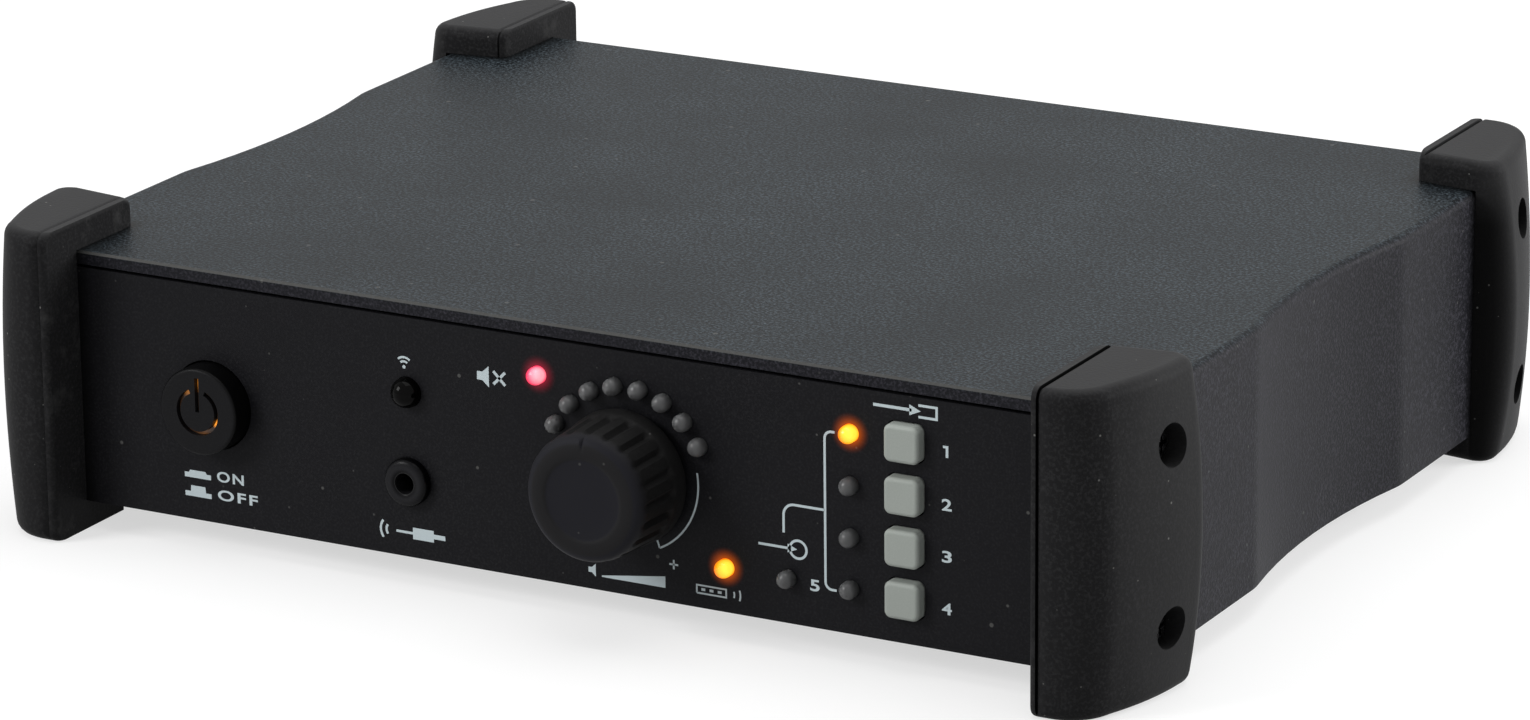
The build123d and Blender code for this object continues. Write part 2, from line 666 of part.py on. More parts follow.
def power_switch_body():
    """The latching switch on the front board, with a blind bore for the stem."""
    half = POWER_SWITCH_SIZE / 2
    body = block(
        POWER_X - half,
        POWER_X + half,
        POWER_SWITCH_FRONT,
        FRONT_BOARD_DEPTH,
        PANEL_MIDDLE - half,
        PANEL_MIDDLE + half,
    )
    bore_end = FRONT_BOARD_DEPTH - RUNNING_GAP
    bore = POWER_STEM_RADIUS + RUNNING_GAP
    return body - rod(POWER_X, PANEL_MIDDLE, POWER_SWITCH_FRONT - 1, bore_end, bore)


def ir_window():
    """A dark dome lens with a flange behind the panel."""
    height = PANEL_MIDDLE + IR_WINDOW_OFFSET
    centre = IR_WINDOW_RADIUS - IR_WINDOW_REACH
    lens = at(IR_X, centre, height) * Sphere(IR_WINDOW_RADIUS)
    lens -= block(IR_X - 9, IR_X + 9, centre, centre + 9, height - 9, height + 9)
    lens += rod(IR_X, height, centre, PANEL_THICKNESS, IR_WINDOW_RADIUS)
    flange_end = PANEL_THICKNESS + IR_FLANGE_THICKNESS
    return lens + rod(IR_X, height, PANEL_THICKNESS, flange_end, IR_WINDOW_RADIUS + IR_FLANGE)


def leads(x, height, d0, count):
    """Flat legs from a depth back to the front board."""
    first = x - LEAD_PITCH * (count - 1) / 2
    half = LEAD_SIZE / 2
    legs = [
        block(
            first + LEAD_PITCH * leg - half,
            first + LEAD_PITCH * leg + half,
            d0,
            FRONT_BOARD_DEPTH,
            height - half,
            height + half,
        )
        for leg in range(count)
    ]
    return legs


def ir_receiver():
    """The receiver module close behind the window, on three legs."""
    height = PANEL_MIDDLE + IR_WINDOW_OFFSET
    half = IR_RECEIVER_SIZE / 2
    front = PANEL_THICKNESS + IR_FLANGE_THICKNESS + IR_RECEIVER_GAP
    back = front + IR_RECEIVER_DEPTH
    body = block(IR_X - half, IR_X + half, front, back, height - half, height + half)
    for leg in leads(IR_X, height, back - LEAD_SIZE, 3):
        body += leg
    return body


def ir_jack_body():
    """The extender socket: a moulded block and a threaded neck round a 3.5 mm bore."""
    height = PANEL_MIDDLE + JACK_OFFSET
    half = JACK_BODY_SIZE / 2
    bore_end = JACK_BORE_LENGTH - JACK_REACH
    end = bore_end + JACK_END_WALL
    body = block(IR_X - half, IR_X + half, PANEL_THICKNESS, end, height - half, height + half)
    body += rod(IR_X, height, -JACK_REACH, PANEL_THICKNESS + 1, JACK_BUSHING_RADIUS)
    return body - rod(IR_X, height, -JACK_REACH - 1, bore_end, JACK_BORE_RADIUS)


def ir_jack_nut():
    """The round nut that clamps the socket to the panel."""
    height = PANEL_MIDDLE + JACK_OFFSET
    ring = rod(IR_X, height, -JACK_NUT_HEIGHT, 0, JACK_NUT_RADIUS)
    ring = fillet(ring.edges().sort_by(Axis.Y)[0], JACK_NUT_EDGE)
    return ring - rod(IR_X, height, -JACK_NUT_HEIGHT - 1, 1, JACK_BUSHING_RADIUS + THREAD_GAP)


def led(place):
    """A 3 mm light: dome, body, base flange and two legs to the front board."""
    x, height = place
    centre = LED_RADIUS - LED_REACH
    body = at(x, centre, height) * Sphere(LED_RADIUS)
    body += rod(x, height, centre, LED_BODY, LED_RADIUS)
    body += rod(x, height, LED_BODY - LED_FLANGE_HEIGHT, LED_BODY, LED_RADIUS + LED_FLANGE)
    for leg in leads(x, height, LED_BODY - LEAD_SIZE, 2):
        body += leg
    return body


def mute_place():
    return MUTE_X, PANEL_MIDDLE + MUTE_OFFSET


def remote_place():
    return REMOTE_X, LAST_SOURCE_HEIGHT


def fifth_place():
    return FIFTH_X, LAST_SOURCE_HEIGHT


def level_places():
    """The arc of level lights, evenly stepped about the top of the knob."""
    places = []
    for step in range(LEVEL_COUNT):
        angle = math.radians(90 + LEVEL_STEP * ((LEVEL_COUNT - 1) / 2 - step))
        x = KNOB_X + LEVEL_RADIUS * math.cos(angle)
        places.append((x, PANEL_MIDDLE + LEVEL_RADIUS * math.sin(angle)))
    return places


def source_led_places():
    return [(SOURCE_LED_X, height) for height in SOURCE_HEIGHTS]


def knob_core():
    """The knob's hard core: a hub on the shaft's flat, recessed at the back over the nut."""
    front = KNOB_FACE - KNOB_REACH
    radius = KNOB_CORE_RADIUS - KNOB_FIT
    core = rod(KNOB_X, PANEL_MIDDLE, front, -KNOB_PANEL_GAP, radius)
    recess = KNOB_RECESS_DEPTH + KNOB_PANEL_GAP
    core -= rod(KNOB_X, PANEL_MIDDLE, -recess, 0, KNOB_RECESS_RADIUS)
    return core - shaft_bar(-SHAFT_REACH - SHAFT_FIT, 0, SHAFT_FIT)


def knob_grip():
    """The rubber grip over the core: a smooth skirt, fluted sides and a shallow dished face."""
    base, front = KNOB_PANEL_GAP, KNOB_REACH
    shoulder = front - KNOB_EDGE_RADIUS
    slope = (KNOB_BASE_RADIUS - KNOB_FRONT_RADIUS) / (front - base)
    shoulder_radius = KNOB_BASE_RADIUS - slope * (shoulder - base)
    bend = KNOB_EDGE_RADIUS * math.sin(math.radians(45))
    rim = shoulder_radius - KNOB_EDGE_RADIUS
    dish_edge = KNOB_DISH_RADIUS - KNOB_DISH_DEPTH
    outline = [
        Line((0, base), (KNOB_BASE_RADIUS, base)),
        Line((KNOB_BASE_RADIUS, base), (shoulder_radius, shoulder)),
        ThreePointArc((shoulder_radius, shoulder), (rim + bend, shoulder + bend), (rim, front)),
        Line((rim, front), (KNOB_DISH_RADIUS, front)),
        Line((KNOB_DISH_RADIUS, front), (dish_edge, front - KNOB_DISH_DEPTH)),
        Line((dish_edge, front - KNOB_DISH_DEPTH), (0, front - KNOB_DISH_DEPTH)),
        Line((0, front - KNOB_DISH_DEPTH), (0, base)),
    ]
    grip = at(KNOB_X, 0, PANEL_MIDDLE) * Rot(90, 0, 0) * revolve(
        Plane.XZ * make_face(Wire(outline)), Axis.Z
    )
    flute_start = base + KNOB_SKIRT
    length = front - flute_start
    tilt = math.degrees(math.atan(slope))
    start_radius = KNOB_BASE_RADIUS - slope * KNOB_SKIRT + FLUTE_RADIUS - FLUTE_DEPTH
    cutter = Cylinder(FLUTE_RADIUS, length, align=(Align.CENTER, Align.CENTER, Align.MIN))
    cutter += Sphere(FLUTE_RADIUS)
    for flute in range(FLUTE_COUNT):
        turn = Rot(0, 0, 360 * flute / FLUTE_COUNT) * Pos(start_radius, 0, flute_start) * Rot(0, -tilt, 0)
        grip -= at(KNOB_X, 0, PANEL_MIDDLE) * Rot(90, 0, 0) * turn * cutter
    grip -= rod(KNOB_X, PANEL_MIDDLE, KNOB_FACE - KNOB_REACH - KNOB_FIT, 0, KNOB_CORE_RADIUS)
    return grip


def shaft_bar(d0, d1, gap):
    """The encoder shaft's round bar with its driving flat, grown by a gap."""
    bar = rod(KNOB_X, PANEL_MIDDLE, d0, d1, SHAFT_RADIUS + gap)
    flat = PANEL_MIDDLE + SHAFT_FLAT + gap
    reach = 2 * SHAFT_RADIUS
    flat_end = -KNOB_RECESS_DEPTH - KNOB_PANEL_GAP
    return bar - block(KNOB_X - reach, KNOB_X + reach, d0 - 1, flat_end, flat, flat + reach)


def encoder_shaft():
    """The turning and pushing shaft, kept in by a collar inside the encoder."""
    collar = ENCODER_FRONT + ENCODER_WALL + PUSH_PLATE_GAP
    shaft = shaft_bar(-SHAFT_REACH, collar, 0)
    return shaft + rod(KNOB_X, PANEL_MIDDLE, collar, collar + SHAFT_COLLAR, SHAFT_COLLAR_RADIUS)


def encoder_push_plate():
    """The plate behind the shaft that takes the push and carries the return dome."""
    start = ENCODER_FRONT + ENCODER_WALL + 2 * PUSH_PLATE_GAP + SHAFT_COLLAR
    radius = ENCODER_CAVITY_RADIUS - RUNNING_GAP
    return rod(KNOB_X, PANEL_MIDDLE, start, start + PUSH_PLATE, radius)


def encoder_body():
    """The encoder's housing on the front board, hollow for the collar and the push plate."""
    half = ENCODER_SIZE / 2
    body = block(
        KNOB_X - half,
        KNOB_X + half,
        ENCODER_FRONT,
        FRONT_BOARD_DEPTH,
        PANEL_MIDDLE - half,
        PANEL_MIDDLE + half,
    )
    cavity_end = FRONT_BOARD_DEPTH - ENCODER_WALL
    body -= rod(KNOB_X, PANEL_MIDDLE, ENCODER_FRONT + ENCODER_WALL, cavity_end, ENCODER_CAVITY_RADIUS)
    return body - rod(KNOB_X, PANEL_MIDDLE, ENCODER_FRONT - 1, cavity_end, SHAFT_RADIUS + RUNNING_GAP)


def encoder_bushing():
    """The threaded neck that guides the shaft through the panel."""
    return tube(
        KNOB_X, PANEL_MIDDLE, -BUSHING_REACH, ENCODER_FRONT, BUSHING_RADIUS, SHAFT_RADIUS + RUNNING_GAP
    )


def encoder_nut():
    """The hexagonal nut that clamps the encoder to the panel, hidden in the knob's recess."""
    nut = hexagon(ENCODER_NUT_ACROSS, ENCODER_NUT_HEIGHT)
    nut -= Cylinder(BUSHING_RADIUS + THREAD_GAP, 2 * ENCODER_NUT_HEIGHT)
    return at(KNOB_X, -ENCODER_NUT_HEIGHT / 2, PANEL_MIDDLE) * Rot(90, 0, 0) * nut


def source_button(height):
    """A key cap with a soft edge, side wings behind the panel and a stem to its switch."""
    cap = square_bar(KEY_X, height, -KEY_REACH, KEY_BODY, KEY_SIZE, KEY_CORNER_RADIUS)
    cap = fillet(cap.edges().group_by(Axis.Y)[0], KEY_EDGE_RADIUS)
    wing = KEY_SIZE / 2 + KEY_WING
    start = PANEL_THICKNESS + KEY_GAP
    half = KEY_SIZE / 2 - KEY_CORNER_RADIUS
    cap += block(KEY_X - wing, KEY_X + wing, start, start + KEY_WING_THICKNESS, height - half, height + half)
    stem = KEY_STEM_SIZE / 2
    return cap + block(KEY_X - stem, KEY_X + stem, KEY_BODY, KEY_REAR, height - stem, height + stem)


def tact_plunger(height):
    """The round plunger of one key's switch."""
    end = FRONT_BOARD_DEPTH - TACT_DEPTH + TACT_PLUNGER_ROOT
    return rod(KEY_X, height, KEY_REAR, end, TACT_PLUNGER_RADIUS)


def tact_switches():
    """The four switch housings on the front board."""
    half = TACT_SIZE / 2
    front = FRONT_BOARD_DEPTH - TACT_DEPTH
    solids = []
    for height in SOURCE_HEIGHTS:
        body = block(KEY_X - half, KEY_X + half, front, FRONT_BOARD_DEPTH, height - half, height + half)
        bore = TACT_PLUNGER_RADIUS + RUNNING_GAP
        solids.append(body - rod(KEY_X, height, front - 1, front + TACT_BORE_DEPTH, bore))
    return group(solids)


def front_board():
    """The upright board behind the panel, cut out round the jack and drilled for its screws."""
    board = block(
        FRONT_BOARD_LEFT,
        FRONT_BOARD_RIGHT,
        FRONT_BOARD_DEPTH,
        FRONT_BOARD_BACK,
        FRONT_BOARD_LOW,
        FRONT_BOARD_HIGH,
    )
    half = JACK_BODY_SIZE / 2 + JACK_CLEARANCE
    height = PANEL_MIDDLE + JACK_OFFSET
    board -= block(
        IR_X - half,
        IR_X + half,
        FRONT_BOARD_DEPTH - 1,
        FRONT_BOARD_BACK + 1,
        height - half,
        height + half,
    )
    for x, place in SPACER_PLACES:
        board -= rod(x, place, FRONT_BOARD_DEPTH - 1, FRONT_BOARD_BACK + 1, CLEARANCE_RADIUS)
    return board


def front_board_spacers():
    """Threaded sleeves on the panel's back that the front board is screwed to."""
    bore = SCREW_RADIUS + THREAD_GAP
    return group(
        tube(x, height, PANEL_THICKNESS, FRONT_BOARD_DEPTH, SPACER_RADIUS, bore)
        for x, height in SPACER_PLACES
    )


def main_board():
    """The flat board on the standoffs."""
    half = MAIN_BOARD_HALF
    board = block(-half, half, MAIN_BOARD_FRONT, MAIN_BOARD_END, MAIN_BOARD_BOTTOM, MAIN_BOARD_TOP)
    for x, depth in STANDOFF_PLACES:
        board -= upright(x, depth, MAIN_BOARD_BOTTOM - 1, MAIN_BOARD_TOP + 1, CLEARANCE_RADIUS)
    return board


def board_standoffs():
    """Hexagonal pillars clinched in the bottom plate."""
    pillar = hexagon(NUT_ACROSS, STANDOFF_HEIGHT)
    pillar -= Cylinder(SCREW_RADIUS + THREAD_GAP, 2 * STANDOFF_HEIGHT)
    middle = PLATE_THICKNESS + STANDOFF_HEIGHT / 2
    return group(at(x, depth, middle) * pillar for x, depth in STANDOFF_PLACES)


def board_screws():
    """The screws of both boards."""
    one = screw(BOARD_SCREW_LENGTH)
    flat = [at(x, depth, MAIN_BOARD_TOP) * one for x, depth in STANDOFF_PLACES]
    upright_ones = [at(x, FRONT_BOARD_BACK, height) * Rot(-90, 0, 0) * one for x, height in SPACER_PLACES]
    return group(flat + upright_ones)


def header_depth():
    """The middle of the main board's ribbon header."""
    return MAIN_BOARD_FRONT + HEADER_SETBACK + HEADER_THICKNESS / 2


def ribbon_headers():
    """The two box headers that the ribbon plugs into."""
    x0, x1 = HEADER_X - HEADER_LENGTH / 2, HEADER_X + HEADER_LENGTH / 2
    rise = MAIN_BOARD_TOP + HEADER_RISE
    half = HEADER_THICKNESS / 2
    upright_one = block(
        x0, x1, FRONT_BOARD_BACK, FRONT_BOARD_BACK + HEADER_HEIGHT, rise - half, rise + half
    )
    middle = header_depth()
    flat = block(x0, x1, middle - half, middle + half, MAIN_BOARD_TOP, MAIN_BOARD_TOP + HEADER_HEIGHT)
    return group([upright_one, flat])


def ribbon_cable():
    """The flat cable from the front board, over one bend and down into the main board."""
    start = FRONT_BOARD_BACK + HEADER_HEIGHT
    end = header_depth()
    rise = MAIN_BOARD_TOP + HEADER_RISE
    bottom = MAIN_BOARD_TOP + HEADER_HEIGHT
    half = RIBBON_WIDTH / 2
    outer = RIBBON_BEND + RIBBON_THICKNESS / 2
    inner = RIBBON_BEND - RIBBON_THICKNESS / 2
    bend_depth, bend_height = end - RIBBON_BEND, rise - RIBBON_BEND
    x0, x1 = HEADER_X - half, HEADER_X + half
    level = block(x0, x1, start, bend_depth, bend_height + inner, bend_height + outer)
    drop = block(x0, x1, bend_depth + inner, bend_depth + outer, bottom, bend_height)
    ring = Cylinder(outer, RIBBON_WIDTH) - Cylinder(inner, RIBBON_WIDTH)
    bend = at(HEADER_X, bend_depth, bend_height) * Rot(0, 90, 0) * ring
    corner = block(x0, x1, bend_depth, bend_depth + 2 * outer, bend_height, bend_height + 2 * outer)
    return level + drop + (bend & corner)


def phono_places():
    """Every phono socket's x and height, upper and lower in each column."""
    return [(x, height) for x in PHONO_COLUMNS for height in (PHONO_LOW, PHONO_HIGH)]


def phono_housings():
    """One moulded block on the main board for each pair of phono sockets."""
    half = PHONO_HOUSING_WIDTH / 2
    top = PHONO_HIGH + PHONO_BASE_HEIGHT
    solids = []
    for x in PHONO_COLUMNS:
        body = block(x - half, x + half, REAR_INSIDE - PHONO_HOUSING_DEPTH, REAR_INSIDE, MAIN_BOARD_TOP, top)
        for height in (PHONO_LOW, PHONO_HIGH):
            body -= rod(x, height, REAR_INSIDE - PHONO_SEAT, REAR_INSIDE + 1, PHONO_RADIUS + PHONO_FIT)
        solids.append(body)
    return group(solids)


def phono_shells():
    """The plated outer sleeves that a plug's collar grips."""
    start, end = REAR_INSIDE - PHONO_SEAT, CASE_DEPTH + PHONO_REACH
    inner = PHONO_RADIUS - PHONO_WALL
    return group(tube(x, height, start, end, PHONO_RADIUS, inner) for x, height in phono_places())


def phono_insulators(height):
    """The coloured plastic filling of one row of sleeves, open in the middle for a plug's pin."""
    start, end = REAR_INSIDE - PHONO_SEAT, CASE_DEPTH + PHONO_REACH - PHONO_RECESS
    outer = PHONO_RADIUS - PHONO_WALL - PHONO_FIT
    return group(tube(x, height, start, end, outer, PHONO_PIN_RADIUS) for x in PHONO_COLUMNS)


def socket_contacts():
    """The metal contacts: a sleeve in each phono socket, the network springs and the inlet pin."""
    start, end = REAR_INSIDE - PHONO_SEAT, CASE_DEPTH + PHONO_REACH - PHONO_CONTACT_RECESS
    outer = PHONO_PIN_RADIUS - PHONO_FIT
    bore = outer - PHONO_CONTACT_WALL
    solids = [tube(x, height, start, end, outer, bore) for x, height in phono_places()]
    mouth = CASE_DEPTH + NETWORK_REACH
    first = NETWORK_X - NETWORK_CONTACT_PITCH * (NETWORK_CONTACTS - 1) / 2
    half = NETWORK_CONTACT_SIZE / 2
    roof = MAIN_BOARD_TOP + NETWORK_FLOOR + NETWORK_LATCH_HEIGHT + NETWORK_MOUTH_HEIGHT
    for contact in range(NETWORK_CONTACTS):
        x = first + NETWORK_CONTACT_PITCH * contact
        inner, tip = mouth - NETWORK_MOUTH_DEPTH, mouth - NETWORK_CONTACT_SETBACK
        solids.append(block(x - half, x + half, inner, tip, roof - NETWORK_CONTACT_SIZE, roof))
    back = CASE_DEPTH - DC_MOUTH_DEPTH
    solids.append(rod(DC_X, DC_HEIGHT_AXIS, back, CASE_DEPTH - DC_PIN_SETBACK, DC_PIN_RADIUS))
    return group(solids)


def network_socket():
    """The remote panel's network socket: a shell with a mouth and a latch slot below it."""
    half = NETWORK_WIDTH / 2
    mouth = CASE_DEPTH + NETWORK_REACH
    body = block(
        NETWORK_X - half,
        NETWORK_X + half,
        mouth - NETWORK_DEPTH,
        mouth,
        MAIN_BOARD_TOP,
        MAIN_BOARD_TOP + NETWORK_HEIGHT,
    )
    floor = MAIN_BOARD_TOP + NETWORK_FLOOR
    sill = floor + NETWORK_LATCH_HEIGHT
    inner = mouth - NETWORK_MOUTH_DEPTH
    wide, narrow = NETWORK_MOUTH_WIDTH / 2, NETWORK_LATCH_WIDTH / 2
    body -= block(
        NETWORK_X - wide, NETWORK_X + wide, inner, mouth + 1, sill, sill + NETWORK_MOUTH_HEIGHT
    )
    return body - block(NETWORK_X - narrow, NETWORK_X + narrow, inner, mouth + 1, floor, sill + 1)


def dc_inlet():
    """The low-voltage inlet: a block with a round mouth that reaches through the rear panel."""
    half = DC_WIDTH / 2
    back = REAR_INSIDE - DC_DEPTH
    body = block(DC_X - half, DC_X + half, back, REAR_INSIDE, MAIN_BOARD_TOP, MAIN_BOARD_TOP + DC_HEIGHT)
    body += rod(DC_X, DC_HEIGHT_AXIS, REAR_INSIDE - 1, CASE_DEPTH, DC_MOUTH_RADIUS)
    bore = DC_MOUTH_RADIUS - DC_MOUTH_WALL
    return body - rod(DC_X, DC_HEIGHT_AXIS, CASE_DEPTH - DC_MOUTH_DEPTH, CASE_DEPTH + 1, bore)


def on_board(x, depth, size):
    """A box standing on the main board, centred on a place."""
    width, length, height = size
    return block(
        x - width / 2,
        x + width / 2,
        depth - length / 2,
        depth + length / 2,
        MAIN_BOARD_TOP,
        MAIN_BOARD_TOP + height,
    )


def relays():
    """The switching relays, one in front of each pair of phono sockets."""
    depth = REAR_INSIDE - RELAY_SETBACK
    return group(on_board(x, depth, RELAY_SIZE) for x in PHONO_COLUMNS)


def capacitors():
    """Upright smoothing capacitors."""
    depth = REAR_INSIDE - CAPACITOR_SETBACK
    top = MAIN_BOARD_TOP + CAPACITOR_HEIGHT
    return group(upright(x, depth, MAIN_BOARD_TOP, top, CAPACITOR_RADIUS) for x in CAPACITOR_X)


def op_amps():
    """The audio amplifier chips."""
    depth = MAIN_BOARD_FRONT + OP_AMP_SETBACK
    return group(on_board(x, depth, OP_AMP_SIZE) for x in OP_AMP_X)


def heatsink_face():
    """The depth of the heatsink's flat side, which the regulator is bolted to."""
    return REAR_INSIDE - HEATSINK_SETBACK


def heatsink():
    """A finned upright heatsink on the main board."""
    half = HEATSINK_WIDTH / 2
    face = heatsink_face()
    top = MAIN_BOARD_TOP + HEATSINK_HEIGHT
    body = block(
        HEATSINK_X - half, HEATSINK_X + half, face, face + HEATSINK_BASE, MAIN_BOARD_TOP, top
    )
    step = (HEATSINK_WIDTH - HEATSINK_FIN_THICKNESS) / (HEATSINK_FINS - 1)
    for fin in range(HEATSINK_FINS):
        x = HEATSINK_X - half + step * fin
        end = face + HEATSINK_BASE + HEATSINK_FIN
        body += block(x, x + HEATSINK_FIN_THICKNESS, face + HEATSINK_BASE, end, MAIN_BOARD_TOP, top)
    return body


def regulator():
    """The voltage regulator against the heatsink, on three legs."""
    width, length, height = REGULATOR_SIZE
    face = heatsink_face()
    foot = MAIN_BOARD_TOP + REGULATOR_LEG
    body = block(
        HEATSINK_X - width / 2, HEATSINK_X + width / 2, face - length, face, foot, foot + height
    )
    for leg in (-1, 0, 1):
        x = HEATSINK_X + leg * LEAD_PITCH
        half = LEAD_SIZE / 2
        middle = face - length / 2
        body += block(x - half, x + half, middle - half, middle + half, MAIN_BOARD_TOP, foot + 1)
    return body


def all_parts():
    """Every node by its name."""
    parts = {
        "top_cover": top_cover(),
        "bottom_plate": bottom_plate(),
        "front_panel": front_panel(),
        "rear_panel": rear_panel(),
        "case_screws": case_screws(),
        "bumper_screws": bumper_screws(),
        "bumper_nuts": bumper_nuts(),
        "power_button_cap": power_button_cap(),
        "power_symbol_lens": power_symbol_lens(),
        "power_plunger": power_plunger(),
        "power_switch_body": power_switch_body(),
        "ir_window": ir_window(),
        "ir_receiver": ir_receiver(),
        "ir_jack_body": ir_jack_body(),
        "ir_jack_nut": ir_jack_nut(),
        "mute_led": led(mute_place()),
        "level_leds": group(led(place) for place in level_places()),
        "remote_led": led(remote_place()),
        "source_led_lit": led(source_led_places()[0]),
        "source_leds_unlit": group(led(place) for place in source_led_places()[1:] + [fifth_place()]),
        "knob_core": knob_core(),
        "knob_grip": knob_grip(),
        "encoder_shaft": encoder_shaft(),
        "encoder_push_plate": encoder_push_plate(),
        "encoder_body": encoder_body(),
        "encoder_bushing": encoder_bushing(),
        "encoder_nut": encoder_nut(),
        "tact_switches": tact_switches(),
        "front_board": front_board(),
        "front_board_spacers": front_board_spacers(),
        "main_board": main_board(),
        "board_standoffs": board_standoffs(),
        "board_screws": board_screws(),
        "ribbon_headers": ribbon_headers(),
        "ribbon_cable": ribbon_cable(),
        "phono_housings": phono_housings(),
        "phono_shells": phono_shells(),
        "phono_insulators_white": phono_insulators(PHONO_HIGH),
        "phono_insulators_red": phono_insulators(PHONO_LOW),
        "socket_contacts": socket_contacts(),
        "network_socket": network_socket(),
        "dc_inlet": dc_inlet(),
        "relays": relays(),
        "capacitors": capacitors(),
        "op_amps": op_amps(),
        "heatsink": heatsink(),
        "regulator": regulator(),
    }
    parts.update(bumpers())
    for row, height in enumerate(SOURCE_HEIGHTS, start=1):
        parts[f"source_button_{row}"] = source_button(height)
        parts[f"tact_plunger_{row}"] = tact_plunger(height)
    return parts


os.makedirs("parts", exist_ok=True)
for name, shape in all_parts().items():
    export_step(shape, f"parts/{name}.step")
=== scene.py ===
import math

import bmesh
import bpy
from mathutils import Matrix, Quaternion, Vector


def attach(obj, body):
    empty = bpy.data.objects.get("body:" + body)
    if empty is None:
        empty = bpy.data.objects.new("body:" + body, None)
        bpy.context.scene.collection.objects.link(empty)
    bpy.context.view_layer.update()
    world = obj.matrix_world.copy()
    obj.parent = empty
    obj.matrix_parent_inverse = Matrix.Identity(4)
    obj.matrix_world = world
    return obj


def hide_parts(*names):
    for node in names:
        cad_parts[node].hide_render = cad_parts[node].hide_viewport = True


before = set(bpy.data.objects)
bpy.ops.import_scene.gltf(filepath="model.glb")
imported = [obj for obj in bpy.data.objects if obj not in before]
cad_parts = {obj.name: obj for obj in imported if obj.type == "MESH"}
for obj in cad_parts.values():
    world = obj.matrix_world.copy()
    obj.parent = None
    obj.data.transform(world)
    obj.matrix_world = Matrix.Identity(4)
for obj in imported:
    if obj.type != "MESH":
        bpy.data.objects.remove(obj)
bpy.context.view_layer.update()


# The tray: the base plate and the rear panel.
# Both are steel sheet, punched and folded, with a matt black powder coat baked on.
# Small machine screws pull them against the cover's turned edges.

def fill(tree, node, inputs):
    """Sets a node's inputs, or links them where another node gives the value."""
    for name, value in inputs.items():
        if isinstance(value, bpy.types.NodeSocket):
            tree.links.new(value, node.inputs[name])
        else:
            node.inputs[name].default_value = value
    return node


def add(tree, kind, inputs=None, **settings):
    """Adds a shader node, sets it up, then fills its inputs."""
    node = tree.nodes.new("ShaderNode" + kind)
    for name, value in settings.items():
        setattr(node, name, value)
    return fill(tree, node, inputs or {})


def spread(tree, value, low, high, start=0.0, end=1.0):
    """Stretches a value's range onto another one and stops it at both ends."""
    inputs = {"Value": value, "From Min": low, "From Max": high, "To Min": start, "To Max": end}
    return add(tree, "MapRange", inputs).outputs["Result"]


def tint(tree, share, first, second, how="MIX"):
    """Goes from one colour to another by a share."""
    ends = [(*colour, 1.0) if isinstance(colour, tuple) else colour for colour in (first, second)]
    inputs = {0: share, 6: ends[0], 7: ends[1]}
    return add(tree, "Mix", inputs, data_type="RGBA", blend_type=how).outputs[2]


def times(tree, first, second, how="MULTIPLY"):
    """Works out two values together."""
    return add(tree, "Math", {0: first, 1: second}, operation=how).outputs[0]


def bumped(tree, height, strength, depth):
    """The surface's direction with a fine relief in it."""
    return add(tree, "Bump", {"Height": height, "Strength": strength, "Distance": depth}).outputs["Normal"]


def start_group(name, inputs, outputs):
    """Opens a shader node group with its named inputs and outputs."""
    group = bpy.data.node_groups.new(name, "ShaderNodeTree")
    for label, kind in inputs:
        group.interface.new_socket(label, in_out="INPUT", socket_type="NodeSocket" + kind)
    for label in outputs:
        group.interface.new_socket(label, in_out="OUTPUT", socket_type="NodeSocketFloat")
    return group, group.nodes.new("NodeGroupInput").outputs, group.nodes.new("NodeGroupOutput").inputs


FLECK_RANGE = (0.46, 0.78)
PATCH_RANGE = (0.3, 0.7)
PATCH_SCALE = 30.0
PATCH_SHARE = 0.5
GLOSS_SPREAD = 0.04


def make_coat_grain():
    """A fine peel, pale flecks in it and slow patches, for sprayed and moulded surfaces."""
    sockets = [("Place", "Vector"), ("Grains", "Float")]
    group, given, made = start_group("coat_grain", sockets, ["Height", "Fleck", "Patch"])
    noise = {"Vector": given["Place"], "Detail": 2.0, "Roughness": 0.6}
    fine = add(group, "TexNoise", {**noise, "Scale": given["Grains"]}).outputs["Fac"]
    slow = add(group, "TexNoise", {**noise, "Scale": PATCH_SCALE}).outputs["Fac"]
    for label, value in (
        ("Height", fine),
        ("Fleck", spread(group, fine, *FLECK_RANGE)),
        ("Patch", spread(group, slow, *PATCH_RANGE)),
    ):
        group.links.new(value, made[label])
    return group


SPECK_CHANCE = (0.4, 1.0)
SPECK_REACH = 0.13
SPECK_EDGE = 0.04
DUST_COLOUR = (0.22, 0.22, 0.21)


def make_dust():
    """A few pale specks, each in the middle of a random cell."""
    group, given, made = start_group("dust", [("Place", "Vector"), ("Cells", "Float")], ["Mask"])
    cells = add(group, "TexVoronoi", {"Vector": given["Place"], "Scale": given["Cells"]}).outputs
    chance = add(group, "SeparateColor", {"Color": cells["Color"]}).outputs["Red"]
    reach = spread(group, chance, *SPECK_CHANCE, 0.0, SPECK_REACH)
    inside = times(group, reach, cells["Distance"], "SUBTRACT")
    group.links.new(spread(group, inside, 0.0, SPECK_EDGE), made["Mask"])
    return group


coat_grain = make_coat_grain()
dust = make_dust()


def start_finish(name):
    """A new material: its node tree, its shader and the surface's own place."""
    finish = bpy.data.materials.new(name)
    finish.use_nodes = True
    tree = finish.node_tree
    return finish, tree, tree.nodes["Principled BSDF"], add(tree, "TexCoord").outputs["Object"]


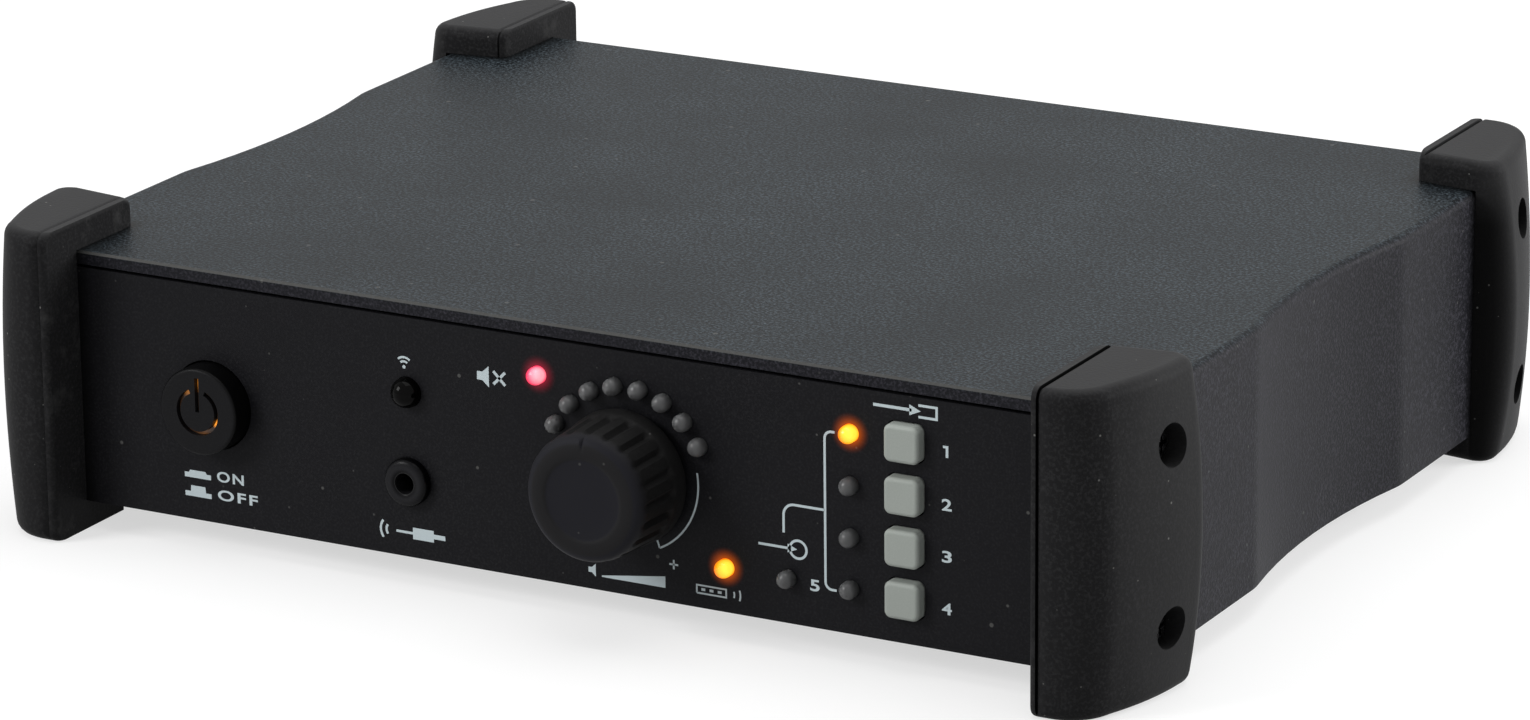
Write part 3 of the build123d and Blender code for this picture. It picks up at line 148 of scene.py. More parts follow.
def grained(name, colour, fleck, grains, rough, specular, relief, patch=0.95, depth=0.00005):
    """A grained coat: a colour with paler flecks, slow darker patches and a fine relief."""
    finish, tree, shader, place = start_finish(name)
    grain = add(tree, "Group", {"Place": place, "Grains": grains}, node_tree=coat_grain).outputs
    flecked = tint(tree, grain["Fleck"], colour, fleck)
    darker = tuple(patch * part for part in colour)
    fill(tree, shader, {
        "Base Color": tint(tree, times(tree, grain["Patch"], PATCH_SHARE), flecked, darker),
        "Roughness": spread(tree, grain["Fleck"], 0.0, 1.0, rough - GLOSS_SPREAD, rough + GLOSS_SPREAD),
        "Specular IOR Level": specular,
        "Normal": bumped(tree, grain["Height"], relief, depth),
    })
    return finish, tree, shader, place


def over(tree, shader, share, colour):
    """Lays another colour over what a shader already has."""
    under = shader.inputs["Base Color"].links[0].from_socket
    tree.links.new(tint(tree, share, under, colour), shader.inputs["Base Color"])


def dusted(tree, shader, place, cells, share):
    """Lays dust specks over a finish."""
    specks = add(tree, "Group", {"Place": place, "Cells": cells}, node_tree=dust).outputs["Mask"]
    over(tree, shader, times(tree, specks, share), DUST_COLOUR)


def dress(finish, *names):
    """Gives a finish to some of the fixed parts."""
    for name in names:
        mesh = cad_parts[name].data
        mesh.materials.clear()
        mesh.materials.append(finish)


tray_coat = grained(
    "tray_coat", (0.011, 0.011, 0.012), (0.028, 0.028, 0.03),
    grains=3000.0, rough=0.5, specular=0.1, relief=0.3,
)[0]
dress(tray_coat, "bottom_plate", "rear_panel")


# The boards and what stands on them, all hidden once the cover is on.
# Green laminate with tinned pads carries relays, capacitors, chips and a finned cooler.
# A grey ribbon joins the main board to the board behind the front panel.

TRACK_EDGE = (0.42, 0.47)
STREAK_RANGE = (0.3, 0.7)
WORN_RANGE = (0.15, 0.4)
GLOSSIER = 0.06
DULLER = 0.08


def fill_finish(finish, inputs):
    """Fills the inputs of a finish's shader."""
    fill(finish.node_tree, finish.node_tree.nodes["Principled BSDF"], inputs)
    return finish


def make_board_mask():
    """Solder mask with slightly raised copper tracks under it."""
    finish, tree, _, place = start_finish("solder_mask")
    cells = add(tree, "TexVoronoi", {"Vector": place, "Scale": 240.0}, distance="MANHATTAN", feature="F1")
    track = spread(tree, cells.outputs["Distance"], *TRACK_EDGE)
    return fill_finish(finish, {
        "Base Color": tint(tree, track, (0.012, 0.085, 0.036), (0.03, 0.15, 0.06)),
        "Roughness": spread(tree, track, 0.0, 1.0, 0.42, 0.3),
        "Normal": bumped(tree, track, strength=0.4, depth=0.00003),
    })


def make_ribbon_stripes():
    """Grey ribbon: a row of round strands moulded side by side."""
    finish, tree, _, place = start_finish("ribbon_strands")
    strands = add(tree, "TexWave", {"Vector": place, "Scale": 125.0}, bands_direction="X").outputs["Fac"]
    return fill_finish(finish, {
        "Base Color": tint(tree, strands, (0.2, 0.2, 0.21), (0.48, 0.48, 0.5)),
        "Roughness": 0.5,
        "Normal": bumped(tree, strands, strength=0.8, depth=0.0003),
    })


def metal(name, colour, rough, lines=(900.0, 900.0, 900.0), worn=0.75):
    """Bare or plated metal: fine drawn lines and a slow change of gloss."""
    finish, tree, _, place = start_finish(name)
    drawn = add(tree, "Mapping", {"Vector": place, "Scale": lines}).outputs["Vector"]
    streak = add(tree, "TexNoise", {"Vector": drawn, "Scale": 1.0, "Detail": 3.0}).outputs["Fac"]
    slow = add(tree, "TexNoise", {"Vector": place, "Scale": 120.0, "Detail": 2.0}).outputs["Fac"]
    duller = tuple(worn * part for part in colour)
    return fill_finish(finish, {
        "Base Color": tint(tree, spread(tree, times(tree, streak, slow), *WORN_RANGE), duller, colour),
        "Roughness": spread(tree, streak, *STREAK_RANGE, rough - GLOSSIER, rough + DULLER),
        "Metallic": 1.0,
        "Normal": bumped(tree, streak, strength=0.12, depth=0.00002),
    })


dress(make_board_mask(), "main_board", "front_board")
dress(make_ribbon_stripes(), "ribbon_cable")
steel = metal("dark_steel", (0.16, 0.16, 0.17), rough=0.38)
nickel = metal("nickel_plate", (0.66, 0.65, 0.62), rough=0.46, lines=(60.0, 2500.0, 60.0), worn=0.9)
aluminium = metal("milled_aluminium", (0.72, 0.73, 0.75), rough=0.34, lines=(200.0, 3000.0, 3000.0))
black_moulding = grained(
    "black_moulding", (0.007, 0.007, 0.008), (0.015, 0.015, 0.016),
    grains=3400.0, rough=0.4, specular=0.2, relief=0.2,
)[0]
white_moulding = grained(
    "white_moulding", (0.74, 0.74, 0.71), (0.8, 0.8, 0.78),
    grains=2600.0, rough=0.36, specular=0.5, relief=0.12, patch=0.93,
)[0]
can_sleeve = grained(
    "can_sleeve", (0.02, 0.026, 0.07), (0.04, 0.05, 0.1),
    grains=1800.0, rough=0.3, specular=0.5, relief=0.1,
)[0]
dress(steel, "board_screws", "case_screws", "bumper_nuts")
dress(nickel, "board_standoffs", "front_board_spacers")
dress(aluminium, "heatsink")
dress(black_moulding, "ribbon_headers", "op_amps", "regulator")
dress(white_moulding, "relays")
dress(can_sleeve, "capacitors")


# The rear sockets: ten phono sockets, a network socket and a power inlet.
# Plated shells stand on black moulded housings, with white and red insulators for left and right.
# They are soldered to the main board and look out through the rear panel.

red_moulding = grained(
    "red_moulding", (0.42, 0.02, 0.018), (0.5, 0.04, 0.035),
    grains=2600.0, rough=0.34, specular=0.5, relief=0.12,
)[0]
brass = metal("bright_brass", (0.78, 0.58, 0.24), rough=0.26)
dress(nickel, "phono_shells")
dress(black_moulding, "phono_housings", "network_socket", "dc_inlet")
dress(white_moulding, "phono_insulators_white")
dress(red_moulding, "phono_insulators_red")
dress(brass, "socket_contacts")


# The front panel: a flat steel plate, sprayed matt black and screen printed.
# It stands under the cover's front lip, with tabs folded back to the base plate.
# A glow of the lit lights is painted on the coat round them, warm for amber and pink for red.

MM = 0.001
PANEL_Y = -0.07575
PANEL_MIDDLE = 0.0256
AMBER_LIGHTS = ((0.0324, PANEL_MIDDLE - 0.013), (0.05505, PANEL_MIDDLE + 0.013))
RED_LIGHTS = ((-0.0019, PANEL_MIDDLE + 0.01445),)
# Painted light: the glow the lit lights cast on the panel coat.
AMBER_PAINTED_GLOW = (0.5, 0.075, 0.002)
RED_PAINTED_GLOW = (0.26, 0.012, 0.03)
GLOW_START = 0.0014
GLOW_END = 0.0036
GLOW_FALL = 2.2
BUMPER_INNER = 91.1
# A seam of dirt and painted contact shade beside each bumper.
SEAM = 3.0
SEAM_SHARE = 0.9
SEAM_DIRT_AND_SHADE_COLOUR = (0.001, 0.001, 0.001)


def band(tree, value, start, end, share=1.0):
    """Goes from nothing to a share between two places in millimetres."""
    return spread(tree, value, start * MM, end * MM, 0.0, share)


def distance_from(tree, place, spot, axes=(1.0, 1.0, 1.0)):
    """The distance of each place from a spot, counted along some of the axes."""
    offset = {"Vector": place, "Location": [-part for part in spot], "Scale": axes}
    away = add(tree, "Mapping", offset).outputs["Vector"]
    return add(tree, "VectorMath", {0: away}, operation="LENGTH").outputs["Value"]


def make_panel_coat():
    """Matt black paint, darkened by the bumpers with dirt and painted contact shade, with a painted glow
    round the three lit lights.
    """
    finish, tree, shader, place = grained(
        "panel_coat", (0.0072, 0.0072, 0.0086), (0.019, 0.019, 0.021),
        grains=2400.0, rough=0.5, specular=0.075, relief=0.4,
    )
    dusted(tree, shader, place, cells=300.0, share=0.35)
    # Dirt and painted contact shade: the coat darkens over a seam beside each bumper.
    sideways = add(tree, "SeparateXYZ", {"Vector": place}).outputs["X"]
    sideways = add(tree, "Math", {0: sideways}, operation="ABSOLUTE").outputs[0]
    over(tree, shader, band(tree, sideways, BUMPER_INNER - SEAM, BUMPER_INNER, SEAM_SHARE), SEAM_DIRT_AND_SHADE_COLOUR)
    # Painted light: a glow round each lit light, laid on the coat as emission.
    glow = None
    for colour, lights in ((AMBER_PAINTED_GLOW, AMBER_LIGHTS), (RED_PAINTED_GLOW, RED_LIGHTS)):
        for x, z in lights:
            distance = distance_from(tree, place, (x, PANEL_Y, z))
            near = spread(tree, distance, GLOW_START, GLOW_END, 1.0, 0.0)
            near = times(tree, near, GLOW_FALL, "POWER")
            painted_halo = tint(tree, near, (0.0, 0.0, 0.0), colour)
            glow = painted_halo if glow is None else tint(tree, 1.0, glow, painted_halo, "ADD")
    return fill_finish(finish, {"Emission Color": glow, "Emission Strength": 1.0})


dress(make_panel_coat(), "front_panel")


# The print on the front panel: pale ink, screen printed after the coat has cured.
# Plain numbers, the two switch words, the bracket that groups the sources, the volume
# arc and small plain pictograms. It is a film that stands a hair proud of the paint.

CASE_FOOT = 0.005
INK = 0.00003
INK_COLOUR = (0.6, 0.69, 0.72)
INK_FLECK = (0.66, 0.75, 0.78)
LETTER_SPACING = 1.2
LETTER_WEIGHT = 0.022
MITRE_LEAST = 0.5


def place_selected(piece, points):
    """Moves the selected corners of the mesh being edited to the given places."""
    mesh = bmesh.from_edit_mesh(piece.data)
    for vertex, point in zip([vertex for vertex in mesh.verts if vertex.select], points):
        vertex.co = point
    bmesh.update_edit_mesh(piece.data)


def start_outline(points):
    """A flat face with its corners at the given places, left open in edit mode."""
    bpy.ops.object.select_all(action="DESELECT")
    bpy.ops.mesh.primitive_circle_add(vertices=len(points), fill_type="NGON")
    piece = bpy.context.object
    bpy.ops.object.mode_set(mode="EDIT")
    bpy.ops.mesh.select_mode(type="VERT")
    bpy.ops.mesh.select_all(action="SELECT")
    place_selected(piece, points)
    return piece


def face_outwards():
    """Turns every face of the mesh being edited outwards and leaves edit mode."""
    bpy.ops.mesh.select_all(action="SELECT")
    bpy.ops.mesh.normals_make_consistent(inside=False)
    bpy.ops.object.mode_set(mode="OBJECT")


def ink_patch(outline):
    """One patch of ink: an outline of (x, height) in millimetres, given its thickness."""
    piece = start_outline([Vector((x * MM, PANEL_Y, CASE_FOOT + h * MM)) for x, h in outline])
    bpy.ops.mesh.extrude_region_move(TRANSFORM_OT_translate={"value": (0.0, -INK, 0.0)})
    face_outwards()
    return piece


def line(path, width):
    """The outline of a drawn line of that width along a path."""
    left, right = [], []
    for index, here in enumerate(path):
        before = Vector(path[max(index - 1, 0)])
        after = Vector(path[min(index + 1, len(path) - 1)])
        into, out = Vector(here) - before, after - Vector(here)
        into = (into if into.length else out).normalized()
        out = (out if out.length else into).normalized()
        mean = (into + out).normalized()
        reach = width / 2 / max(mean.dot(into), MITRE_LEAST)
        side = Vector((-mean.y, mean.x)) * reach
        left.append(Vector(here) + side)
        right.append(Vector(here) - side)
    return left + right[::-1]


def arc(x, h, radius, start, end, count=24):
    """Points along an arc, angles in degrees from the right, anticlockwise."""
    angles = [math.radians(start + (end - start) * step / count) for step in range(count + 1)]
    return [(x + radius * math.cos(angle), h + radius * math.sin(angle)) for angle in angles]


def ring(x, h, radius, width):
    """Two half rings that close into a circle."""
    return [line(arc(x, h, radius, start, start + 180), width) for start in (0, 180)]


def words(text, x, h, width, height):
    """Plain numbers or a switch word, fitted to a box with its middle at (x, h)."""
    bpy.ops.object.select_all(action="DESELECT")
    bpy.ops.object.text_add()
    letters = bpy.context.object.data
    letters.body = text
    letters.space_character = LETTER_SPACING
    letters.offset = LETTER_WEIGHT
    letters.extrude = INK / 2
    bpy.ops.object.convert(target="MESH")
    bpy.ops.object.origin_set(type="ORIGIN_GEOMETRY", center="BOUNDS")
    piece = bpy.context.object
    piece.scale = (width * MM / piece.dimensions.x, height * MM / piece.dimensions.y, 1.0)
    piece.rotation_euler = (math.radians(90), 0.0, 0.0)
    piece.location = (x * MM, PANEL_Y - INK / 2, CASE_FOOT + h * MM)
    bpy.ops.object.transform_apply()
    bpy.ops.object.mode_set(mode="EDIT")
    bpy.ops.mesh.select_all(action="SELECT")
    bpy.ops.mesh.remove_doubles(threshold=1e-7)
    face_outwards()
    return piece


def speaker(x, h, size):
    """A loudspeaker mark: a small box with a flared horn."""
    box, flare, half, low = 0.28 * size, 0.62 * size, 0.5 * size, 0.2 * size
    return [
        (x, h - low), (x + box, h - low), (x + flare, h - half),
        (x + flare, h + half), (x + box, h + low), (x, h + low),
    ]


def panel_marks():
    """Every mark on the panel but the lettering, as outlines in millimetres."""
    bold, dash, thin, wave, fine, hair = 0.5, 0.45, 0.42, 0.36, 0.32, 0.28
    marks = []
    # switch position marks: a low cap for on, a tall cap for off
    left, middle, right, plinth = -71.0, -68.4, -65.8, 0.85
    for foot, cap, half, slant in ((7.35, 0.45, 1.8, 0.3), (4.05, 1.05, 1.5, 0.1)):
        base = foot + plinth
        marks.append([
            (left, foot), (right, foot), (right, base), (middle + half, base),
            (middle + half - slant, base + cap), (middle + slant - half, base + cap),
            (middle - half, base), (left, base),
        ])
    # first source: a plain one
    marks.append([
        (71.98, 32.05), (72.44, 32.05), (72.44, 34.0), (71.5, 34.0), (71.5, 33.58), (71.98, 33.58),
    ])
    # bracket from the first to the fourth light, with a branch to the fifth
    bend, turn = 51.7, 1.2
    bracket = [(52.3, 33.3)] + arc(bend, 32.1, turn, 90, 180, 8)
    bracket += arc(bend, 8.1, turn, 180, 270, 8) + [(52.5, 6.9)]
    marks.append(line(bracket, thin))
    marks.append(line([(50.4, 20.1)] + arc(44.9, 18.2, 1.9, 90, 180, 10) + [(43.0, 15.2)], thin))
    # volume arc with its arrow
    sweep = arc(14.6, 20.6, 12.9, 9.6, -64.0, 32)
    marks.append(line(sweep, fine))
    marks.append(line([(19.6, 10.9), sweep[-1]], fine))
    # louder: a plus
    marks.append(line([(22.0, 6.58), (23.6, 6.58)], fine))
    marks.append(line([(22.8, 5.78), (22.8, 7.38)], fine))
    # volume: a loudspeaker and a rising wedge
    marks.append(speaker(6.9, 3.3, 2.2))
    marks.append([(9.4, 2.35), (21.2, 2.35), (21.2, 4.3), (9.4, 2.6)])
    # mute: a crossed loudspeaker
    mute, arm = 33.35, 1.1
    marks.append(speaker(-13.4, mute, 3.6))
    for way in (arm, -arm):
        marks.append(line([(-10.3, mute - way), (-8.1, mute + way)], bold))
    # remote: a handset with two waves
    marks.append(line([(27.0, 2.5), (32.4, 2.5), (32.4, 3.85), (27.0, 3.85), (27.0, 2.5)], hair))
    for key in (28.2, 29.7, 31.2):
        marks.append(line([(key - 0.35, 3.18), (key + 0.35, 3.18)], dash))
    for radius in (1.5, 2.6):
        marks.append(line(arc(32.4, 3.18, radius, -20, 20, 8), hair))
    # infrared: a dot under two waves
    marks.append(arc(-27.3, 32.75, 0.3, 0, 340, 16))
    for radius in (0.95, 1.65):
        marks.append(line(arc(-27.3, 32.75, radius, 48, 132, 12), wave))
    # extender socket: a plug with its lead and two waves
    marks.append([
        (-26.4, 3.2), (-22.4, 3.2), (-22.4, 3.8), (-20.2, 3.8),
        (-20.2, 4.6), (-22.4, 4.6), (-22.4, 5.2), (-26.4, 5.2),
    ])
    marks.append(line([(-29.6, 4.2), (-26.4, 4.2)], thin))
    for radius in (1.3, 2.4):
        marks.append(line(arc(-30.2, 4.2, radius, 142, 218, 10), thin))
    # sources: an arrow into a socket
    marks.append(line([(59.2, 39.0), (66.0, 39.0)], bold))
    marks.append([(65.6, 39.9), (67.6, 39.0), (65.6, 38.1)])
    marks.append(line([(67.2, 39.95), (70.4, 39.95), (70.4, 38.05), (67.2, 38.05)], thin))
    # outside source: an arrow into a ring
    marks += ring(45.6, 12.7, 1.5, thin)
    marks.append(line([(38.4, 12.7), (44.0, 12.7)], thin))
    marks.append([(43.7, 13.45), (45.4, 12.7), (43.7, 11.95)])
    return marks


def join(name, pieces):
    """Makes one piece out of several."""
    bpy.ops.object.select_all(action="DESELECT")
    for piece in pieces:
        piece.select_set(True)
    bpy.context.view_layer.objects.active = pieces[0]
    bpy.ops.object.join()
    pieces[0].name = pieces[0].data.name = name
    return pieces[0]


ink = grained(
    "pale_ink", INK_COLOUR, INK_FLECK, grains=5200.0, rough=0.5, specular=0.2, relief=0.2, patch=0.85
)[0]
printed = [ink_patch(outline) for outline in panel_marks()]
printed += [words("ON", -61.93, 8.28, 5.3, 1.85), words("OFF", -60.57, 5.06, 7.9, 1.85)]
for number, height in ((2, 24.28), (3, 15.67), (4, 7.01)):
    printed.append(words(str(number), 72.15, height, 1.75, 1.95))
printed.append(words("5", 48.56, 7.14, 1.7, 1.95))
panel_print = join("panel_print", printed)
panel_print.data.materials.clear()
panel_print.data.materials.append(ink)
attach(panel_print, "chassis")


# The power button: a round black cap on the stem of a latching switch.
# Its mark is cut right through, and an amber light guide stands low in the cut.
# One lamp below lights the guide, so it glows at a few places only.

POWER_X = -0.0652
CAP_WALL_PAINTED_SHADE = (0.0015, 0.0015, 0.0017)
LENS_BASE = (0.06, 0.02, 0.004)
LENS_DARK = (0.006, 0.003, 0.001)
LENS_AMBER = (1.0, 0.34, 0.03)
LENS_SPOTS = (
    # x and z from the button's middle, radius and level of each bright place
    (0.0031, -0.0018, 0.0009, 1.3), (-0.0002, 0.0048, 0.0018, 0.75), (-0.0021, 0.0031, 0.0013, 0.3),
    (0.0006, -0.0037, 0.0015, 0.06),
)
CAP_WALL = (0.0071, 0.0074)


def off_axis(tree, place, x, z):
    """The distance of each place from a line along the depth."""
    return distance_from(tree, place, (x, 0.0, z), axes=(1.0, 0.0, 1.0))


def make_cap_coat():
    """Satin black plastic, with painted shade round the wall."""
    finish, tree, shader, place = grained(
        "power_cap", (0.0072, 0.0072, 0.0082), (0.0135, 0.0135, 0.0145),
        grains=3600.0, rough=0.42, specular=0.07, relief=0.2,
    )
    # Painted shade: the cap's wall is laid darker than its face.
    wall = spread(tree, off_axis(tree, place, POWER_X, PANEL_MIDDLE), *CAP_WALL)
    over(tree, shader, wall, CAP_WALL_PAINTED_SHADE)
    return finish


def make_lens():
    """A dark amber light guide with a few bright places."""
    finish, tree, _, place = start_finish("amber_guide")
    shine = None
    for x, z, radius, level in LENS_SPOTS:
        distance = off_axis(tree, place, POWER_X + x, PANEL_MIDDLE + z)
        spot = times(tree, spread(tree, distance, 0.0, radius, 1.0, 0.0), level)
        shine = spot if shine is None else times(tree, shine, spot, "ADD")
    return fill_finish(finish, {
        "Base Color": tint(tree, shine, LENS_BASE, LENS_AMBER),
        "Emission Color": tint(tree, shine, LENS_DARK, LENS_AMBER),
        "Emission Strength": 1.0, "Roughness": 0.35,
    })


dress(make_cap_coat(), "power_button_cap")
dress(make_lens(), "power_symbol_lens")
dress(white_moulding, "power_plunger")
dress(black_moulding, "power_switch_body")


# The infrared window and the extender socket under it.
# The window is a polished dome of dark filter plastic pressed in from behind.
# The socket is a moulded bushing held by a round nut with a softened rim.

IR_X = -0.0268
WINDOW_MIDDLE = PANEL_MIDDLE + 0.0079
WINDOW_RADIUS = 2.6
WINDOW_ROUND = 0.3
WINDOW_COLOURS = ((0.0008, 0.0008, 0.0008), (0.0016, 0.0014, 0.0014))
FLANGE_REACH = 0.5
FLANGE_BACK = -3.0
FLANGE_FRONT = -2.0
DOME_ROWS = 19
DOME_STEP = 5
DOME_SHORT = 2
TURNED_STEPS = 64
TURNED_SMOOTH = math.radians(40)
WINDOW_GLOSS = (0.08, 0.12)
SOCKET_MIDDLE = PANEL_MIDDLE - 0.0074
NUT_ROWS = (
    # depth in front of the panel and radius, in millimetres
    (0.0, 3.05), (0.0, 4.0), (0.1, 4.1), (0.95, 4.1), (1.3, 4.02), (1.58, 3.84), (1.77, 3.56), (1.87, 3.2),
    (1.89, 2.85), (1.88, 2.5), (1.84, 2.2), (1.77, 1.98), (1.72, 1.9), (1.71, 2.0), (1.71, 3.05),
)
NUT_CREST = ((0.0021, 0.0026), (0.0039, 0.0029))
NUT_WALL = (0.0039, 0.00405)
NUT_CREST_PAINTED_HIGHLIGHT = (0.017, 0.017, 0.019)
NUT_WALL_PAINTED_SHADE = (0.001, 0.001, 0.0012)


def turned(name, x, middle, rows, steps, shape=lambda step, depth, radius: (depth, radius)):
    """A piece turned about the depth: a circle extruded along rows of (depth, radius) in millimetres."""
    bpy.ops.object.select_all(action="DESELECT")
    bpy.ops.mesh.primitive_circle_add(vertices=steps, radius=rows[0][1] * MM, fill_type="NOTHING")
    piece = bpy.context.object
    bpy.ops.object.mode_set(mode="EDIT")
    bpy.ops.mesh.select_mode(type="VERT")
    bpy.ops.mesh.select_all(action="SELECT")
    for number, row in enumerate(rows):
        if number:
            bpy.ops.mesh.extrude_region_move()
        points = []
        for step in range(steps):
            depth, radius = shape(step, *row)
            turn = math.tau * step / steps
            across, up = radius * MM * math.cos(turn), radius * MM * math.sin(turn)
            points.append((x + across, PANEL_Y - depth * MM, middle + up))
        place_selected(piece, points)
    piece.name = piece.data.name = name
    return piece


def close_turned(hollow=False):
    """Caps both ends of the turned piece in hand, or joins them if it is a ring, and smooths it."""
    bpy.ops.mesh.select_mode(type="EDGE")
    bpy.ops.mesh.select_all(action="DESELECT")
    bpy.ops.mesh.select_non_manifold()
    if hollow:
        bpy.ops.mesh.bridge_edge_loops()
    else:
        bpy.ops.mesh.fill_holes(sides=0)
    face_outwards()
    bpy.ops.object.shade_smooth_by_angle(angle=TURNED_SMOOTH)


def window_rows():
    """The window from its flange behind the panel to the top of its dome."""
    flange = WINDOW_RADIUS + FLANGE_REACH
    rows = [(FLANGE_BACK, flange), (FLANGE_FRONT, flange)]
    rows += [(FLANGE_FRONT, WINDOW_RADIUS), (0.0, WINDOW_RADIUS)]
    for step in range(DOME_ROWS):
        turn = math.radians(max(DOME_STEP * step - DOME_SHORT, 0))
        rows.append((WINDOW_ROUND + WINDOW_RADIUS * math.sin(turn), WINDOW_RADIUS * math.cos(turn)))
    return rows


def make_window():
    """Very dark polished plastic, a shade uneven inside."""
    finish, tree, _, place = start_finish("filter_dome")
    slow = add(tree, "TexNoise", {"Vector": place, "Scale": 300.0, "Detail": 1.0}).outputs["Fac"]
    return fill_finish(finish, {
        "Base Color": tint(tree, slow, *WINDOW_COLOURS),
        "Roughness": spread(tree, slow, *PATCH_RANGE, *WINDOW_GLOSS),
        "Specular IOR Level": 0.055,
    })


def make_nut_coat():
    """Black plastic, with a painted highlight along the crest and painted shade round the wall."""
    finish, tree, shader, place = grained(
        "nut_coat", (0.0035, 0.0035, 0.0042), (0.006, 0.006, 0.0072),
        grains=3600.0, rough=0.32, specular=0.07, relief=0.2,
    )
    distance = off_axis(tree, place, IR_X, SOCKET_MIDDLE)
    # Painted highlight along the crest, then painted shade round the outer wall.
    over(tree, shader, times(tree, *[spread(tree, distance, *ends) for ends in NUT_CREST]), NUT_CREST_PAINTED_HIGHLIGHT)
    over(tree, shader, spread(tree, distance, *NUT_WALL), NUT_WALL_PAINTED_SHADE)
    return finish


dome = turned("window_dome", IR_X, WINDOW_MIDDLE, window_rows(), TURNED_STEPS)
close_turned()
dome.data.materials.append(make_window())
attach(dome, "chassis")
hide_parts("ir_window")

nut = turned("socket_nut", IR_X, SOCKET_MIDDLE, NUT_ROWS, TURNED_STEPS)
close_turned(hollow=True)
nut.data.materials.append(make_nut_coat())
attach(nut, "chassis")
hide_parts("ir_jack_nut")
dress(black_moulding, "ir_jack_body", "ir_receiver")


# The lights: 3 mm diffused lamps that look through holes in the panel.
# The unlit ones are milky grey domes. Two amber ones and the red one are lit,
# hottest where the chip sits inside and deeper in colour towards the rim.

LIGHT_TOP = PANEL_Y - 0.0024
CHIP = Vector((0.0007, -0.0012, 0.0003))
LIT_RIM = (0.0021, 0.0015)
LIT_HEART = (0.0016, 0.0009)
MILKY_FOOT = (0.06, 0.061, 0.062)
MILKY_BODY = (0.09, 0.091, 0.093)
MILKY_TIP = (0.1, 0.101, 0.103)
BODY_RISE = (0.0, 0.6)
TIP_RISE = (0.75, 1.0)
MILKY_DEPTH = 0.004
AMBER_LIT = ((0.8, 0.11, 0.0), (1.0, 0.36, 0.01), (1.0, 0.7, 0.05))
RED_LIT = ((0.6, 0.01, 0.05), (1.0, 0.06, 0.13), (1.0, 0.34, 0.4))


def make_milky():
    """A milky dome that light goes deep into, darker at its foot and palest at the tip."""
    finish, tree, _, place = start_finish("milky_dome")
    depth = add(tree, "SeparateXYZ", {"Vector": place}).outputs["Y"]
    rise = spread(tree, depth, PANEL_Y, LIGHT_TOP)
    body = tint(tree, spread(tree, rise, *BODY_RISE), MILKY_FOOT, MILKY_BODY)
    return fill_finish(finish, {
        "Base Color": tint(tree, spread(tree, rise, *TIP_RISE), body, MILKY_TIP),
        "Roughness": 0.2, "Specular IOR Level": 0.25,
        "Subsurface Weight": 1.0, "Subsurface Radius": (1.0, 1.0, 1.0), "Subsurface Scale": MILKY_DEPTH,
    })


def make_lit(name, light, rim, middle, heart):
    """A lit dome, coloured by the distance from its chip."""
    finish, tree, _, place = start_finish(name)
    x, z = light
    distance = distance_from(tree, place, Vector((x, PANEL_Y, z)) + CHIP)
    outer = tint(tree, spread(tree, distance, *LIT_RIM), rim, middle)
    whole = tint(tree, spread(tree, distance, *LIT_HEART), outer, heart)
    lit = {"Base Color": whole, "Emission Color": whole, "Emission Strength": 1.0, "Roughness": 0.3}
    return fill_finish(finish, lit)


dress(make_milky(), "level_leds", "source_leds_unlit")
for number, lamp in enumerate(("remote_led", "source_led_lit")):
    dress(make_lit(lamp, AMBER_LIGHTS[number], *AMBER_LIT), lamp)
dress(make_lit("mute_led", RED_LIGHTS[0], *RED_LIT), "mute_led")


# The volume knob on its encoder.
# A soft-touch rubber grip with twenty flutes is moulded over a hard core, which is
# pushed onto the flat of the encoder's shaft. A short notch in its shoulder is the pointer.

KNOB_X = 0.0146
KNOB_STEPS = 160
FLUTES = 20
FLUTE_DEPTH = 0.7
FLUTE_SHARPNESS = 1.3
NOTCH_DEPTH = 0.4
FACE_PAINTED_LIGHT = (0.0148, 0.0145, 0.0155)
FACE_REACH = (12.5, 14.65)
DISH_COLOUR = (0.0145, 0.0145, 0.0182)
DISH_REACH = (14.84, 14.72)
KNOB_ROWS = (
    # depth in front of the panel, radius, share of the flute's depth and of the notch's
    (13.45, 0.6), (13.45, 8.05), (1.2, 8.05), (1.2, 11.1), (1.35, 11.4), (1.7, 11.5), (3.9, 11.34),
    (4.35, 11.2), (4.6, 11.12, 0.3), (5.0, 11.1, 0.75), (5.5, 11.08, 1.0), (8.5, 10.98, 1.0),
    (11.0, 10.9, 1.0), (11.8, 10.87, 0.9), (12.4, 10.83, 0.65), (12.9, 10.77, 0.35),
    (13.4, 10.66, 0.1, 0.2), (13.9, 10.45, 0.0, 1.0), (14.35, 10.1, 0.0, 1.0), (14.7, 9.6, 0.0, 1.0),
    (14.9, 8.95, 0.0, 0.8), (14.98, 8.2), (14.98, 7.5), (14.94, 7.15), (14.84, 6.9), (14.75, 6.7),
    (14.7, 6.4), (14.7, 4.0), (14.7, 0.6),
)


def knob_shape(step, depth, radius, flute=0.0, notch=0.0):
    """Draws the flutes into the side and the pointer's notch into the shoulder."""
    wave = max(0.0, math.cos(FLUTES * math.tau * step / KNOB_STEPS)) ** FLUTE_SHARPNESS
    pointer = notch * NOTCH_DEPTH if step == KNOB_STEPS // 4 else 0.0
    return depth - pointer, radius - flute * FLUTE_DEPTH * wave


